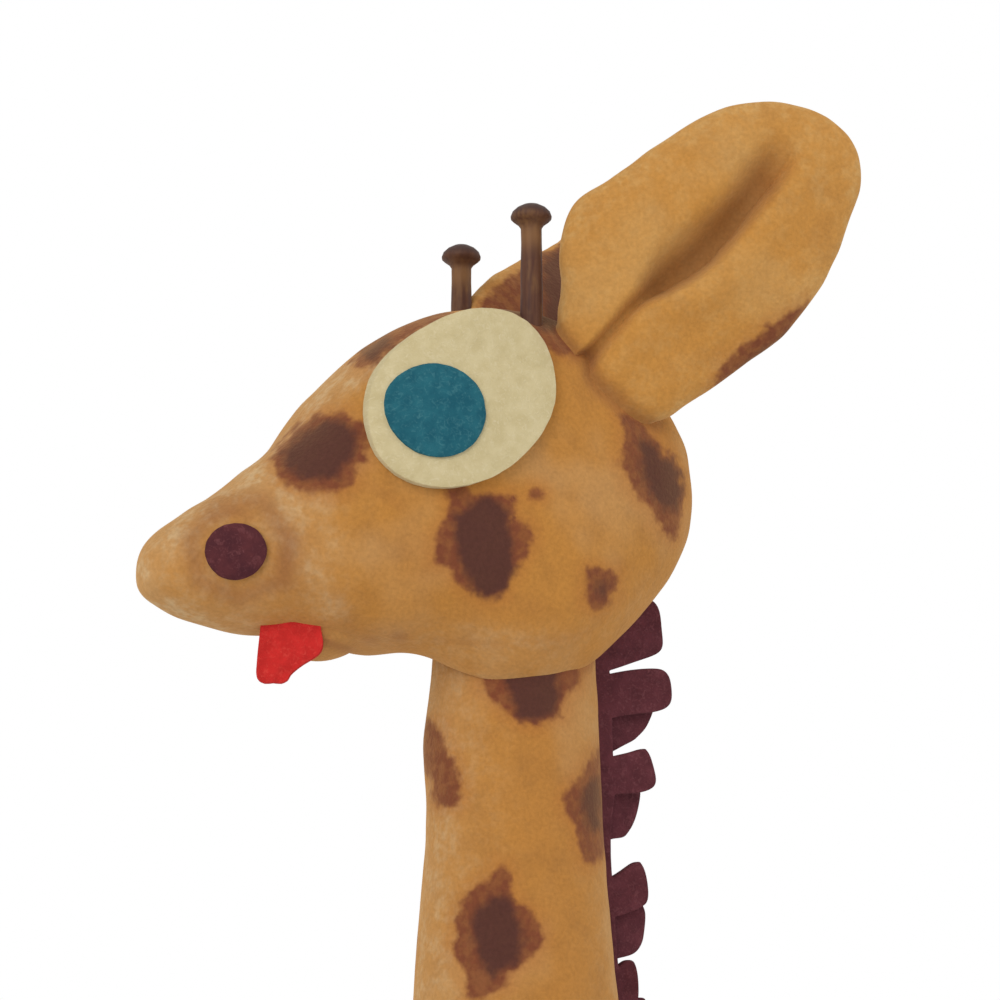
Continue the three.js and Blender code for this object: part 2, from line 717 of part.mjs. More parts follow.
const rooms = [headRoom, neckRoom, torsoRoom];
giraffe.add(piece('tongue', tongueForm(0), redFelt));
giraffe.add(piece('mane_left_strip', geometryOf(maneStrip(-1, nearTabShares, rooms)), plumFelt));
giraffe.add(piece('mane_right_strip', geometryOf(maneStrip(1, farTabShares, rooms)), plumFelt));

const tail = new THREE.Group();
tail.applyMatrix4(tailPlace(0));
const tailSkin = without(solid(tailForm(0)), solid(tuftForm(seamGap)));
tail.add(piece('tail', geometryOf(tailSkin), velveteen));
tail.add(piece('tail_tuft', tuftForm(0), plumFelt));
giraffe.add(tail);

// The origin goes under the middle of the animal's length.
giraffe.updateMatrixWorld(true);
const extent = new THREE.Box3().setFromObject(giraffe, true);
giraffe.position.x = -(extent.min.x + extent.max.x) / 2;

export default giraffe;
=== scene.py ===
# %% [markdown]
# A stuffed velveteen giraffe, dressed over its CAD frame.
#
# The real toy is about 260 mm tall. Its skins are tan velveteen, filled hard with wood wool and
# cotton and airbrushed with brown spots. Felt eyes, nostrils and a tongue are glued on, two round
# pegs make the horns, and two felt strips, cut into tabs, are sewn into the back of the neck.
#
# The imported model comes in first. Everything below is built round it and never moves it.

# %% Load the frame
import math

import bmesh
import bpy
import numpy as np
from mathutils import Matrix, Vector, noise
from mathutils.bvhtree import BVHTree


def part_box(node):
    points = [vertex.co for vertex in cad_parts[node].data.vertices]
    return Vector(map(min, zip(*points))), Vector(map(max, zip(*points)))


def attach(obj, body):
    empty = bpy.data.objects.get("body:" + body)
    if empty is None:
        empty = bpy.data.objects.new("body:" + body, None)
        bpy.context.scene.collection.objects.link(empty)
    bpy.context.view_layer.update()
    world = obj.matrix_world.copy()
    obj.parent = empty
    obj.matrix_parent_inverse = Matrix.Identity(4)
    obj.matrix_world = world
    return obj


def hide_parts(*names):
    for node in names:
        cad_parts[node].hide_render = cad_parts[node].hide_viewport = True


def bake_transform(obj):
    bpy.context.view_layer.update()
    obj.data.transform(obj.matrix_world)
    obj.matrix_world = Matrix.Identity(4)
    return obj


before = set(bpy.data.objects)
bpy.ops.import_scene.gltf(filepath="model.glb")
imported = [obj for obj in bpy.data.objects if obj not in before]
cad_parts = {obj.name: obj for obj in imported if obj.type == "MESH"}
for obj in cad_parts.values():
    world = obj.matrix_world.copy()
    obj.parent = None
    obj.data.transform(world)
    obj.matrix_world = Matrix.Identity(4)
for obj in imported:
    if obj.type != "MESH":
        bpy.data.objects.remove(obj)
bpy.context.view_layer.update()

# %% [markdown]
# A toy this small is easier to think of in millimetres. All shapes below are made in millimetres
# from the middle of the neck, with Z as the height above the floor, and one matrix takes a finished
# mesh to metres in the CAD frame. The wire inside the neck shows where the neck's middle is.

# %% Millimetres from the middle of the neck
MM = 0.001
NECK_TOP = 198.0
wire_low, wire_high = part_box("neck_wire")
neck_middle = np.array(((wire_low.x + wire_high.x) / 2 / MM, 0.0, 0.0))
to_frame = Matrix.Scale(MM, 4) @ Matrix.Translation(neck_middle)
print("the neck's middle lies at x =", round(neck_middle[0], 3), "mm in the frame")

# %% [markdown]
# The camera stands where the photograph's camera stood: low, in front of the toy's left shoulder,
# and looking up by ten degrees, so that the head and the upper neck fill the picture.

# %% Camera
PICTURE = 1000
camera_data = bpy.data.cameras.new("picture_camera")
camera_data.sensor_width = 36
camera_data.lens = 98.18
camera_data.clip_start, camera_data.clip_end = 0.01, 20
camera = bpy.data.objects.new("picture_camera", camera_data)
camera.location = Vector((-148.974, -269.846, 163.022)) * MM
camera.rotation_euler = (math.radians(100), 0, math.radians(-25))
bpy.context.scene.collection.objects.link(camera)
bpy.context.scene.camera = camera

turned = np.array(camera.rotation_euler.to_matrix())
view_right, view_up, view_back = turned[:, 0], turned[:, 1], turned[:, 2]
eye_place = np.array(camera.location) / MM - neck_middle
focal_pixels = camera_data.lens / camera_data.sensor_width * PICTURE


def in_picture(places):
    """Where places in millimetres fall in the picture, in pixels from its top left corner."""
    seen = places - eye_place
    depth = -(seen @ view_back)
    across = PICTURE / 2 + focal_pixels * (seen @ view_right) / depth
    down = PICTURE / 2 - focal_pixels * (seen @ view_up) / depth
    return np.stack((across, down), axis=1)


TOY_DISTANCE = 300  # mm from the camera to the toy's head
PIXELS_PER_MM = focal_pixels / TOY_DISTANCE
print("one millimetre of the toy is", round(PIXELS_PER_MM, 2), "pixels")

# %% [markdown]
# Colours are chosen as sRGB hex values, as a picture shows them, and Blender's sockets want linear
# light, so one function converts them. A second function adds any node with its settings and its
# links, which keeps every material a short list of steps.

# %% Colours and nodes
def colour(hex_text):
    """An sRGB hex colour as linear red, green, blue and alpha."""
    parts = [int(hex_text[i:i + 2], 16) / 255 for i in (1, 3, 5)]
    linear = [p / 12.92 if p <= 0.04045 else ((p + 0.055) / 1.055) ** 2.4 for p in parts]
    return (*linear, 1.0)


def add_node(tree, kind, settings=None, links=None):
    """Adds a shader node. Settings name its own properties or its unlinked sockets, and a link comes
    from a socket or from a node's first output."""
    made = tree.nodes.new("ShaderNode" + kind)
    for name, value in (settings or {}).items():
        if isinstance(name, int) or name in made.inputs:
            made.inputs[name].default_value = value
        else:
            setattr(made, name, value)
    for name, source in (links or {}).items():
        tree.links.new(getattr(source, "outputs", [source])[0], made.inputs[name])
    return made


def blank_material(name):
    """A material with no nodes yet, its node tree, and the Object coordinates of what it covers."""
    material = bpy.data.materials.new(name)
    material.use_nodes = True
    tree = material.node_tree
    tree.nodes.clear()
    return material, tree, add_node(tree, "TexCoord").outputs["Object"]


def grain(size_mm):
    """The scale of a pattern on Object coordinates whose features are this size."""
    return 1 / (size_mm * MM)


# %% [markdown]
# The studio is plain: an even white surround, one large soft lamp high on the left, as in the
# photograph, and a weak one on the right. Light Path shows the camera and every glossy or
# transmitted ray pure white, so the background is white without more light on the toy.

# %% Studio surround and lamps
def rays_that_see_white(tree):
    """1 for a camera, glossy or transmitted ray, and 0 for the rays that carry light to the toy."""
    path = add_node(tree, "LightPath")
    either = path.outputs["Is Camera Ray"]
    for other in ("Is Glossy Ray", "Is Transmission Ray"):
        either = add_node(tree, "Math", {"operation": "MAXIMUM"}, {0: either, 1: path.outputs[other]})
    return either


world = bpy.data.worlds.new("studio")
bpy.context.scene.world = world
world.use_nodes = True
surround = world.node_tree
surround.nodes.clear()
soft_light = add_node(surround, "Background", {"Color": colour("#ffffff"), "Strength": 0.62})
white_wall = add_node(surround, "Background", {"Color": colour("#ffffff"), "Strength": 1.0})
sees_white = rays_that_see_white(surround)
chosen = add_node(surround, "MixShader", None, {0: sees_white, 1: soft_light, 2: white_wall})
add_node(surround, "OutputWorld", None, {"Surface": chosen})


def soft_lamp(name, place_mm, aim_mm, size_m, watts, tint):
    """A square area lamp at a place, turned towards another."""
    data = bpy.data.lights.new(name, "AREA")
    data.energy, data.size, data.color = watts, size_m, colour(tint)[:3]
    lamp = bpy.data.objects.new(name, data)
    lamp.location = Vector(place_mm) * MM
    lamp.rotation_euler = (Vector(aim_mm) - Vector(place_mm)).to_track_quat("-Z", "Y").to_euler()
    bpy.context.scene.collection.objects.link(lamp)


soft_lamp("lamp_high_left", (-860, -680, 720), (0, 0, 190), 0.8, 6.8, "#fffaf2")
soft_lamp("lamp_right", (700, -650, 350), (0, 0, 150), 0.9, 2.55, "#fffaf4")
view_settings = bpy.context.scene.view_settings
view_settings.view_transform = "Standard"
print("lamps:", [lamp.name for lamp in bpy.data.lights])

# %% [markdown]
# The floor is a large pale disc. It keeps the toy's soft shadow near the feet and fades into the
# white surround further out, so no horizon shows.

# %% Floor
def finished_mesh(bm, name):
    """Turns a bmesh into a mesh and frees it."""
    mesh = bpy.data.meshes.new(name)
    bm.to_mesh(mesh)
    bm.free()
    return mesh


FLOOR_RADIUS = 3.0
floor_paint, tree, place = blank_material("matt_white_board")
from_middle = add_node(tree, "VectorMath", {"operation": "LENGTH"}, {0: place}).outputs["Value"]
fade = add_node(tree, "MapRange", {
    "interpolation_type": "SMOOTHSTEP", "From Min": 0.06, "From Max": 0.42, "To Min": 0.3},
    {"Value": from_middle})
painted_edge_sheen = add_node(tree, "Math", {"operation": "MULTIPLY"}, {0: fade, 1: rays_that_see_white(tree)})
board = add_node(tree, "BsdfDiffuse", {"Color": colour("#f6f6f5")})
glow = add_node(tree, "Emission", {"Color": colour("#ffffff"), "Strength": 1.0})
mixed = add_node(tree, "MixShader", None, {0: painted_edge_sheen, 1: board, 2: glow})
add_node(tree, "OutputMaterial", None, {"Surface": mixed})

bm = bmesh.new()
bmesh.ops.create_circle(bm, cap_ends=True, segments=96, radius=FLOOR_RADIUS)
floor_mesh = finished_mesh(bm, "floor")
floor_mesh.materials.append(floor_paint)
floor = bpy.data.objects.new("floor", floor_mesh)
bpy.context.scene.collection.objects.link(floor)
print("floor radius:", FLOOR_RADIUS, "m")

# %% [markdown]
# Velveteen is a cotton cloth with a short, dense nap. The nap scatters light, so it has no
# highlight, only a faint bright rim, which the shader calls sheen. Its surface looks like fine
# speckle because the nap leans in small tufts about 0.4 mm wide.
#
# The spots were sprayed through stencils: a dark purple-brown middle, a redder edge, and a ragged
# border where the droplets thin out. Every skin carries two attributes, spot_edge and spot_core,
# that hold the depth inside a stencil in millimetres, and noise of 0.8 and 1.9 mm breaks the border.
# Handling has rubbed some places pale, and the attribute wear_and_painted_light holds that wear together with
# painted highlights and painted light on edges and tops. The attribute hollow holds painted shade in creases,
# seams, dents and undersides, and some real dirt. The ears' cloth is a little paler.
#
# The material is built in the order of the real thing: first all its noises and attributes, then the
# share of each layer, and last the layers of paint and wear, one over the other.

# %% Velveteen
def velveteen(name, tan, paler_tone, darker_tone):
    """Airbrushed cotton velveteen: a dyed ground, sprayed spots, rubbed places, dirt, and painted light and
    shade.
    """
    material, tree, place = blank_material(name)
    flow = {title: add_node(tree, "Attribute", {"attribute_name": title}).outputs["Fac"]
            for title in ("wear_and_painted_light", "hollow", "spot_edge", "spot_core")}
    for title, size_mm, detail, roughness in (
            ("nap", 0.42, 3, 0.5), ("tuft", 0.9, 2, 0.5), ("mottle", 3.4, 3, 0.5), ("cloud", 11, 2, 0.5),
            ("scuff", 2.3, 3, 0.6), ("wide_waver", 1.9, 2, 0.5), ("fine_waver", 0.8, 2, 0.5),
            ("spray", 1.2, 2, 0.5)):
        flow[title] = add_node(tree, "TexNoise", {
            "Scale": grain(size_mm), "Detail": detail, "Roughness": roughness}, {"Vector": place})

    def steps(kind, rows):
        for title, settings, links in rows:
            sources = {socket: flow[source] for socket, source in links.items()}
            flow[title] = add_node(tree, kind, settings, sources)

    steps("Math", (
        ("coarse", {"operation": "MULTIPLY_ADD", 1: 1.7, 2: -0.85}, {0: "wide_waver"}),
        ("fine", {"operation": "MULTIPLY_ADD", 1: 0.75, 2: -0.375}, {0: "fine_waver"}),
        ("ragged", {"operation": "ADD"}, {0: "fine", 1: "coarse"}),
        ("near_edge", {"operation": "ADD"}, {0: "spot_edge", 1: "coarse"}),
        ("in_edge", {"operation": "ADD"}, {0: "spot_edge", 1: "ragged"}),
        ("in_core", {"operation": "ADD"}, {0: "spot_core", 1: "ragged"}),
        ("pile", {"operation": "MULTIPLY_ADD", 1: 0.6}, {0: "tuft", 2: "nap"})))
    steps("MapRange", [
        (title, {"interpolation_type": "SMOOTHSTEP", "From Min": low, "From Max": high, "To Min": least,
                 "To Max": most}, {"Value": source})
        for title, source, low, high, least, most in (
            ("dusty_share", "mottle", 0.45, 0.72, 0, 0.3), ("pale_share", "cloud", 0.45, 0.7, 0, 0.25),
            ("scuffed", "scuff", 0.38, 0.6, 0, 1), ("tufted", "tuft", 0.25, 0.7, 0, 1),
            ("overspray_share", "near_edge", -2.4, 0.2, 0, 0.4), ("halo", "in_edge", -0.65, 0.25, 0, 1),
            ("core_share", "in_core", -1.15, 0.35, 0, 0.94), ("uneven", "spray", 0.36, 0.62, 0.8, 1))])
    steps("Math", (
        ("scuffed", {"operation": "MULTIPLY"}, {0: "scuffed", 1: "tufted"}),
        ("scuffed", {"operation": "MULTIPLY_ADD", 1: 0.75, 2: 0.35}, {0: "scuffed"}),
        ("worn_share", {"operation": "MULTIPLY"}, {0: "wear_and_painted_light", 1: "scuffed"}),
        ("halo_share", {"operation": "MULTIPLY"}, {0: "halo", 1: "uneven"})))

    layer = None
    # The worn_share layer paints pale wear together with painted light, and the hollow layer paints shade,
    # with some real dirt, in #845436.
    for share, paint in (
            ("dusty_share", darker_tone), ("pale_share", paler_tone), ("worn_share", paler_tone), ("hollow", "#845436"),
            ("overspray_share", "#a0622f"), ("halo_share", "#733f2a"), ("core_share", "#4c2c28")):
        settings, links = {"Color2": colour(paint)}, {"Fac": flow[share]}
        if layer:
            links["Color1"] = layer
        else:
            settings["Color1"] = colour(tan)
        layer = add_node(tree, "MixRGB", settings, links)
    nap_light = add_node(tree, "MapRange", {"From Min": 0.3, "From Max": 0.7, "To Min": 0.9, "To Max": 1.07},
                         {"Value": flow["nap"]})
    shade = add_node(tree, "MixRGB", {"blend_type": "MULTIPLY", "Fac": 1.0},
                     {"Color1": layer, "Color2": nap_light})
    bump = add_node(tree, "Bump", {"Strength": 0.4, "Distance": 0.2 * MM}, {"Height": flow["pile"]})
    cloth = add_node(tree, "BsdfPrincipled", {
        "Roughness": 0.92, "Specular IOR Level": 0.15, "Sheen Weight": 0.46, "Sheen Roughness": 0.5,
        "Sheen Tint": colour("#e8ba80")}, {"Base Color": shade, "Normal": bump})
    add_node(tree, "OutputMaterial", None, {"Surface": cloth})
    return material


tan_velveteen = velveteen("airbrushed_cotton_velveteen", "#af7938", "#c0a076", "#90612f")
ear_velveteen = velveteen("paler_cotton_velveteen", "#b57e39", "#c7a36b", "#966632")
print("made", tan_velveteen.name, "and", ear_velveteen.name)
print("each has", len(tan_velveteen.node_tree.nodes), "nodes")

# %% [markdown]
# Wool felt is a mat of fibres pressed together. It is fully matt, its colour is a little uneven
# because the fibres take the dye differently, and single fibres 0.1 mm thick lie in every
# direction. They are too fine to show, so they are drawn as two crossed layers of stretched noise
# of about 0.5 mm.

# %% Wool felt
def wool_felt(name, dyed, deep, pale):
    """Pressed wool felt with uneven dye and visible fibres."""
    material, tree, place = blank_material(name)
    mat = add_node(tree, "TexNoise", {"Scale": grain(1.6), "Detail": 3.0}, {"Vector": place})
    fibres = []
    for turn in ((0.4, 0.3, 0.5), (1.2, 2.0, 1.4)):
        stretched = add_node(tree, "Mapping", {"Rotation": turn, "Scale": (1, 0.25, 1)}, {"Vector": place})
        fibres.append(add_node(tree, "TexNoise", {"Scale": grain(0.55), "Detail": 3.0, "Distortion": 1.2},
                               {"Vector": stretched}))
    tangle = add_node(tree, "Math", {"operation": "MAXIMUM"}, dict(enumerate(fibres)))
    dyed_part = add_node(tree, "MapRange", {"From Min": 0.35, "From Max": 0.65}, {"Value": mat})
    lit_part = add_node(tree, "MapRange", {"From Min": 0.56, "From Max": 0.76, "To Max": 0.5},
                        {"Value": tangle})
    ground = add_node(tree, "MixRGB", {"Color1": colour(deep), "Color2": colour(dyed)}, {"Fac": dyed_part})
    ground = add_node(tree, "MixRGB", {"Color2": colour(pale)}, {"Fac": lit_part, "Color1": ground})
    bump = add_node(tree, "Bump", {"Strength": 0.6, "Distance": 0.18 * MM}, {"Height": tangle})
    felt = add_node(tree, "BsdfPrincipled", {
        "Roughness": 1.0, "Specular IOR Level": 0.1, "Sheen Weight": 0.25, "Sheen Roughness": 0.5,
        "Sheen Tint": colour(pale)}, {"Base Color": ground, "Normal": bump})
    add_node(tree, "OutputMaterial", None, {"Surface": felt})
    return material


plum_felt = wool_felt("plum_wool_felt", "#562c30", "#46242a", "#77474a")
faded_felt = wool_felt("faded_plum_wool_felt", "#60333a", "#522b31", "#7a4b50")
cream_felt = wool_felt("cream_wool_felt", "#c4b791", "#bbad85", "#d1c6a6")
teal_felt = wool_felt("teal_wool_felt", "#27616f", "#1d5363", "#4c8088")
red_felt = wool_felt("red_wool_felt", "#c42d2b", "#b02725", "#d24c43")
print("felts:", [m.name for m in bpy.data.materials if "felt" in m.name])

# %% [markdown]
# The pegs are turned wood under a thin brown stain and varnish. The stain takes unevenly, so pale
# ochre wood shows through in places, most where fingers have held the stem. The end grain of the
# head drinks more of it and is darker.

# %% Stained and varnished wood
stained_wood, tree, place = blank_material("stained_varnished_birch")
along_grain = add_node(tree, "Mapping", {"Scale": (1, 1, 0.12)}, {"Vector": place})
wood_grain = add_node(tree, "TexNoise", {"Scale": grain(0.45), "Detail": 4.0}, {"Vector": along_grain})
stain_cloud = add_node(tree, "TexNoise", {"Scale": grain(2.6), "Detail": 2.0}, {"Vector": place})
dark_grain = add_node(tree, "MapRange", {"From Min": 0.35, "From Max": 0.65}, {"Value": wood_grain})
pale_cloud = add_node(tree, "MapRange", {"From Min": 0.5, "From Max": 0.66, "To Max": 0.22},
                      {"Value": stain_cloud})
pale_part = add_node(tree, "Math", {"operation": "MULTIPLY"}, {0: pale_cloud, 1: dark_grain})
handled, crown = (add_node(tree, "Attribute", {"attribute_name": name}).outputs["Fac"]
                  for name in ("peg_handled", "peg_head"))
stain = add_node(tree, "MixRGB", {"Color1": colour("#492b21"), "Color2": colour("#5a3928")},
                 {"Fac": dark_grain})
for share, tone in ((pale_part, "#94703f"), (handled, "#946c42"), (crown, "#3c2b27")):
    stain = add_node(tree, "MixRGB", {"Color2": colour(tone)}, {"Fac": share, "Color1": stain})
bump = add_node(tree, "Bump", {"Strength": 0.4, "Distance": 0.08 * MM}, {"Height": wood_grain})
varnish = add_node(tree, "BsdfPrincipled", {
    "Roughness": 0.64, "Coat Weight": 0.08, "Coat Roughness": 0.4, "Specular IOR Level": 0.2},
    {"Base Color": stain, "Normal": bump})
add_node(tree, "OutputMaterial", None, {"Surface": varnish})
print("made", stained_wood.name)

# %% [markdown]
# The rod in the neck is plain drawn steel. Nothing of it shows, but it stays a CAD node and gets
# its real finish: a grey metal whose fine drawing lines run lengthwise. A waxed cotton thread sews
# the seams.

# %% Drawn steel and sewing thread
drawn_steel, tree, place = blank_material("drawn_steel")
lengthwise = add_node(tree, "Mapping", {"Scale": (1, 1, 0.02)}, {"Vector": place})
lines = add_node(tree, "TexNoise", {"Scale": grain(0.15), "Detail": 2.0}, {"Vector": lengthwise})
roughness = add_node(tree, "MapRange", {"To Min": 0.3, "To Max": 0.5}, {"Value": lines})
bump = add_node(tree, "Bump", {"Strength": 0.2, "Distance": 0.02 * MM}, {"Height": lines})
steel = add_node(tree, "BsdfPrincipled", {"Base Color": colour("#8c8f92"), "Metallic": 1.0},
                 {"Roughness": roughness, "Normal": bump})
add_node(tree, "OutputMaterial", None, {"Surface": steel})
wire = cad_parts["neck_wire"]
wire.data.materials.clear()
wire.data.materials.append(drawn_steel)
thread_cotton = wool_felt("waxed_cotton_thread", "#a8793f", "#8a5f33", "#c79c60")
print("made", drawn_steel.name, "and", thread_cotton.name)

# %% [markdown]
# Every stuffed piece is a closed skin. The cutter's pattern decides how wide and how high the
# stuffed form is at each point along it, so a table of sections describes it well, and a smooth
# curve runs through the rows. The mesh itself is Blender's UV sphere, whose rings take the sizes
# of the sections. It stays closed at both ends, and its rings are fine enough for seams and dents.

# %% Sections and skins
def curve_through(rows, shares):
    """The rows of a table, blended by a smooth curve that passes through each of them."""
    rows = np.asarray(rows, float)
    spans = len(rows) - 1
    at = np.clip(shares, 0, 1) * spans
    first = np.minimum(at.astype(int), spans - 1)
    part = (at - first)[:, None]
    before, start = rows[np.maximum(first - 1, 0)], rows[first]
    end, after = rows[first + 1], rows[np.minimum(first + 2, spans)]
    slope_in, slope_out = (end - before) / 2, (after - start) / 2
    return (
        (2 * start - 2 * end + slope_in + slope_out) * part**3
        + (3 * end - 3 * start - 2 * slope_in - slope_out) * part**2
        + slope_in * part
        + start
    )


def places_of(mesh):
    flat = np.empty(len(mesh.vertices) * 3)
    mesh.vertices.foreach_get("co", flat)
    return flat.reshape(-1, 3)


def move_to(mesh, places):
    mesh.vertices.foreach_set("co", places.ravel())
    mesh.update()


def outward(mesh):
    """Turns the faces of a closed mesh outwards and returns the normals at its vertices."""
    bm = bmesh.new()
    bm.from_mesh(mesh)
    bmesh.ops.recalc_face_normals(bm, faces=bm.faces)
    bm.to_mesh(mesh)
    bm.free()
    flat = np.empty(len(mesh.vertices) * 3)
    mesh.vertices.foreach_get("normal", flat)
    return flat.reshape(-1, 3)


def moved(mesh, places):
    """Moves the vertices of a closed mesh and returns its new normals."""
    move_to(mesh, places)
    return outward(mesh)


def ringed_sphere(name, around, along):
    """A UV sphere, with each vertex's share from pole to pole and its angle round the axis."""
    bm = bmesh.new()
    bmesh.ops.create_uvsphere(bm, u_segments=around, v_segments=along, radius=1.0)
    mesh = finished_mesh(bm, name)
    unit = places_of(mesh)
    share = np.arccos(np.clip(unit[:, 2], -1, 1)) / math.pi
    return mesh, share, np.arctan2(unit[:, 1], unit[:, 0])


def oval_section(rows, size, share, angle):
    """How far along, across and sideways a skin's vertices lie. Size is length, depth and width."""
    along, high, low, half, squareness = curve_through(rows, share).T
    length, depth, width = size
    sideways, upwards = np.cos(angle), np.sin(angle)
    reach = (np.abs(sideways) ** squareness + np.abs(upwards) ** squareness) ** (-1 / squareness)
    across = depth * ((high + low) / 2 + (high - low) / 2 * upwards * reach)
    return along * length, across, width / 2 * np.maximum(half, 0) * sideways * reach


def lumps(places, size_mm, seed):
    """Smooth unevenness from -1 to 1 with features of this size."""
    shifted = places / size_mm + seed * 7.31
    return np.array([noise.noise(Vector(p)) for p in shifted])


def bulge(places, centre, radius, height):
    """A soft round rise at a place, to be added along the normals."""
    distance = np.linalg.norm(places - np.array(centre, float), axis=1)
    return height * np.exp(-((distance / radius) ** 2))


# %% [markdown]
# Every piece ends in the same way: its mesh goes to the frame, takes its paint as attributes and its
# material, and becomes an object at the origin that rides on a body of the frame.

# %% Finish a piece
pieces_made = []


def finish_piece(name, mesh, material, stands_for=(), body="trunk", fields=None):
    """Takes a mesh to the frame, gives it its finish, and hands it to the frame's body."""
    mesh.name = name
    mesh.transform(to_frame)
    outward(mesh)
    for field_name, values in (fields or {}).items():
        attribute = mesh.attributes.new(field_name, "FLOAT", "POINT")
        attribute.data.foreach_set("value", np.asarray(values, np.float32))
    mesh.materials.append(material)
    mesh.shade_smooth()
    piece = bpy.data.objects.new(name, mesh)
    bpy.context.scene.collection.objects.link(piece)
    if body:
        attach(piece, body)
    if stands_for:
        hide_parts(*stands_for)
    pieces_made.append(piece)
    print(name, "has", len(mesh.polygons), "faces")
    return piece


# %% [markdown]
# A stencil is a closed outline. Those that the photograph shows are drawn in its pixels, and the
# camera carries them onto the skin. The same cut-outs, turned and resized, give the spots on the
# sides that it doesn't show: there the stencil lies flat against the skin at a chosen place.

# %% Spray stencils
def depth_inside(points, outline):
    """How far each point lies inside a closed outline, negative outside."""
    outline = np.asarray(outline, float)
    nearest = np.full(len(points), np.inf)
    inside = np.zeros(len(points), bool)
    for start, end in zip(outline, np.roll(outline, -1, axis=0)):
        side = end - start
        part = np.clip((points - start) @ side / (side @ side), 0, 1)
        nearest = np.minimum(nearest, np.linalg.norm(points - start - part[:, None] * side, axis=1))
        crosses = (start[1] > points[:, 1]) != (end[1] > points[:, 1])
        rise = side[1] if abs(side[1]) > 1e-9 else 1e-9
        inside ^= crosses & (points[:, 0] < start[0] + (points[:, 1] - start[1]) / rise * side[0])
    return np.where(inside, nearest, -nearest)


# %% [markdown]
# These are the cut-outs that the photograph shows, in its pixels. The first outline of each is the
# edge of the spot, and the second, where there is one, is the darker core of a second coat.

# %% Cut-outs of the head and the neck
HEAD_SPOTS = {
    "forehead": (
        [(283, 443), (301, 425), (325, 413), (345, 415), (363, 424), (367, 446), (364, 461), (355, 466),
         (352, 484), (338, 491), (307, 491), (284, 481), (273, 460)],
        [(293, 447), (308, 434), (327, 424), (342, 426), (352, 434), (354, 446), (350, 456), (341, 462),
         (336, 474), (310, 478), (292, 468), (286, 458)]),
    "cheek": (
        [(447, 487), (463, 487), (470, 495), (499, 495), (515, 497), (512, 508), (509, 520), (528, 524),
         (532, 538), (527, 552), (520, 563), (512, 570), (503, 590), (489, 597), (475, 590), (455, 578),
         (453, 569), (438, 562), (437, 538), (447, 522), (450, 508)],
        [(466, 513), (475, 504), (486, 498), (497, 503), (505, 518), (506, 538), (509, 556), (513, 570),
         (505, 585), (489, 596), (477, 589), (471, 574), (463, 558), (457, 534), (457, 518)]),
    "back": (
        [(623, 417), (636, 418), (648, 431), (660, 449), (671, 456), (679, 469), (681, 484), (682, 501),
         (678, 512), (677, 535), (673, 537), (663, 528), (654, 513), (645, 500), (633, 490), (629, 476),
         (623, 465), (623, 450), (627, 438)],
        [(642, 442), (654, 451), (663, 460), (672, 463), (678, 474), (679, 493), (673, 506), (667, 507),
         (658, 497), (650, 481), (643, 463)]),
    "crown": (
        [(474, 304), (520, 286), (556, 258), (563, 262), (563, 332), (578, 352), (560, 352), (540, 338),
         (502, 320)],
        [(494, 303), (552, 275), (560, 285), (558, 322), (545, 328), (518, 318)]),
    "brow": (
        [(352, 362), (372, 342), (400, 326), (440, 309), (452, 313), (412, 332), (388, 352), (368, 368)],
        [(366, 352), (384, 340), (388, 345), (372, 358)]),
    "droplet": ([(531, 490), (539, 490), (540, 497), (532, 498)],),
    "small": (
        [(590, 572), (601, 573), (615, 574), (613, 591), (608, 601), (597, 608), (589, 603), (588, 592)],
        [(600, 587), (604, 587), (604, 593)]),
}
NECK_SPOTS = {
    "under_hem": (
        [(482, 672), (493, 676), (538, 676), (562, 668), (576, 668), (577, 684), (564, 693), (560, 713),
         (538, 723), (525, 721), (510, 713), (498, 701), (486, 690)],
        [(507, 674), (553, 672), (555, 710), (538, 716), (522, 715), (515, 698)]),
    "left": (
        [(420, 715), (437, 729), (444, 744), (452, 759), (457, 775), (459, 796), (454, 804), (437, 805),
         (434, 790), (431, 775), (420, 760)],),
    "right": (
        [(604, 745), (594, 755), (579, 778), (565, 799), (568, 813), (578, 824), (582, 844), (585, 862),
         (591, 863), (606, 851), (612, 800)],
        [(597, 780), (590, 788), (585, 800), (588, 816), (593, 828), (598, 826)]),
    "diamond": (
        [(498, 867), (508, 871), (506, 886), (516, 903), (531, 913), (536, 923), (541, 943), (531, 956),
         (509, 973), (500, 990), (483, 997), (470, 996), (466, 969), (455, 956), (455, 941), (461, 910),
         (470, 891), (488, 881)],
        [(494, 896), (509, 901), (516, 919), (521, 944), (514, 961), (493, 973), (483, 961), (476, 936),
         (476, 921)]),
}
print("cut-outs:", len(HEAD_SPOTS), "on the head and", len(NECK_SPOTS), "on the neck")

# %% [markdown]
# Seen from the camera, a skin lies inside a cut-out or outside it, and that is its depth there. The
# paint ends where the skin turns away from the camera. The same cut-outs lie flat against the skin
# at a chosen place for the spots on the sides that the photograph doesn't show.

# %% Spray a skin
NO_SPOT = -9.0
EDGE_ON, EDGE_FADE = -0.15, 14  # how far a sprayed skin may turn away, and how soon the paint ends past that
CORE_INSET, STENCIL_REACH = 1.6, 22  # mm from a spot's edge to its dark core, and mm that a stencil covers


def bare(places):
    """The spot depths of a skin without a spot: one row for the edges and one for the cores."""
    return np.full((2, len(places)), NO_SPOT)


def photographed_spots(spots, places, normals):
    """Depth in millimetres inside the sprayed edges and cores that the photograph shows."""
    pixels = in_picture(places)
    fall_off = np.maximum(0, EDGE_ON - normals @ view_back) * EDGE_FADE
    depths = bare(places)
    for outlines in spots.values():
        for layer, outline in enumerate(outlines):
            depth = depth_inside(pixels, outline) / PIXELS_PER_MM
            depths[layer] = np.maximum(depths[layer], depth - fall_off)
    return depths


STENCILS = {}
for title, outlines in {**HEAD_SPOTS, **NECK_SPOTS}.items():
    flat = np.array(outlines[0], float)
    STENCILS[title] = (flat - flat.mean(axis=0)) * (1, -1) / PIXELS_PER_MM
sizes = {title: np.ptp(outline, axis=0).round(1).tolist() for title, outline in STENCILS.items()}
print("stencils in mm:", sizes)


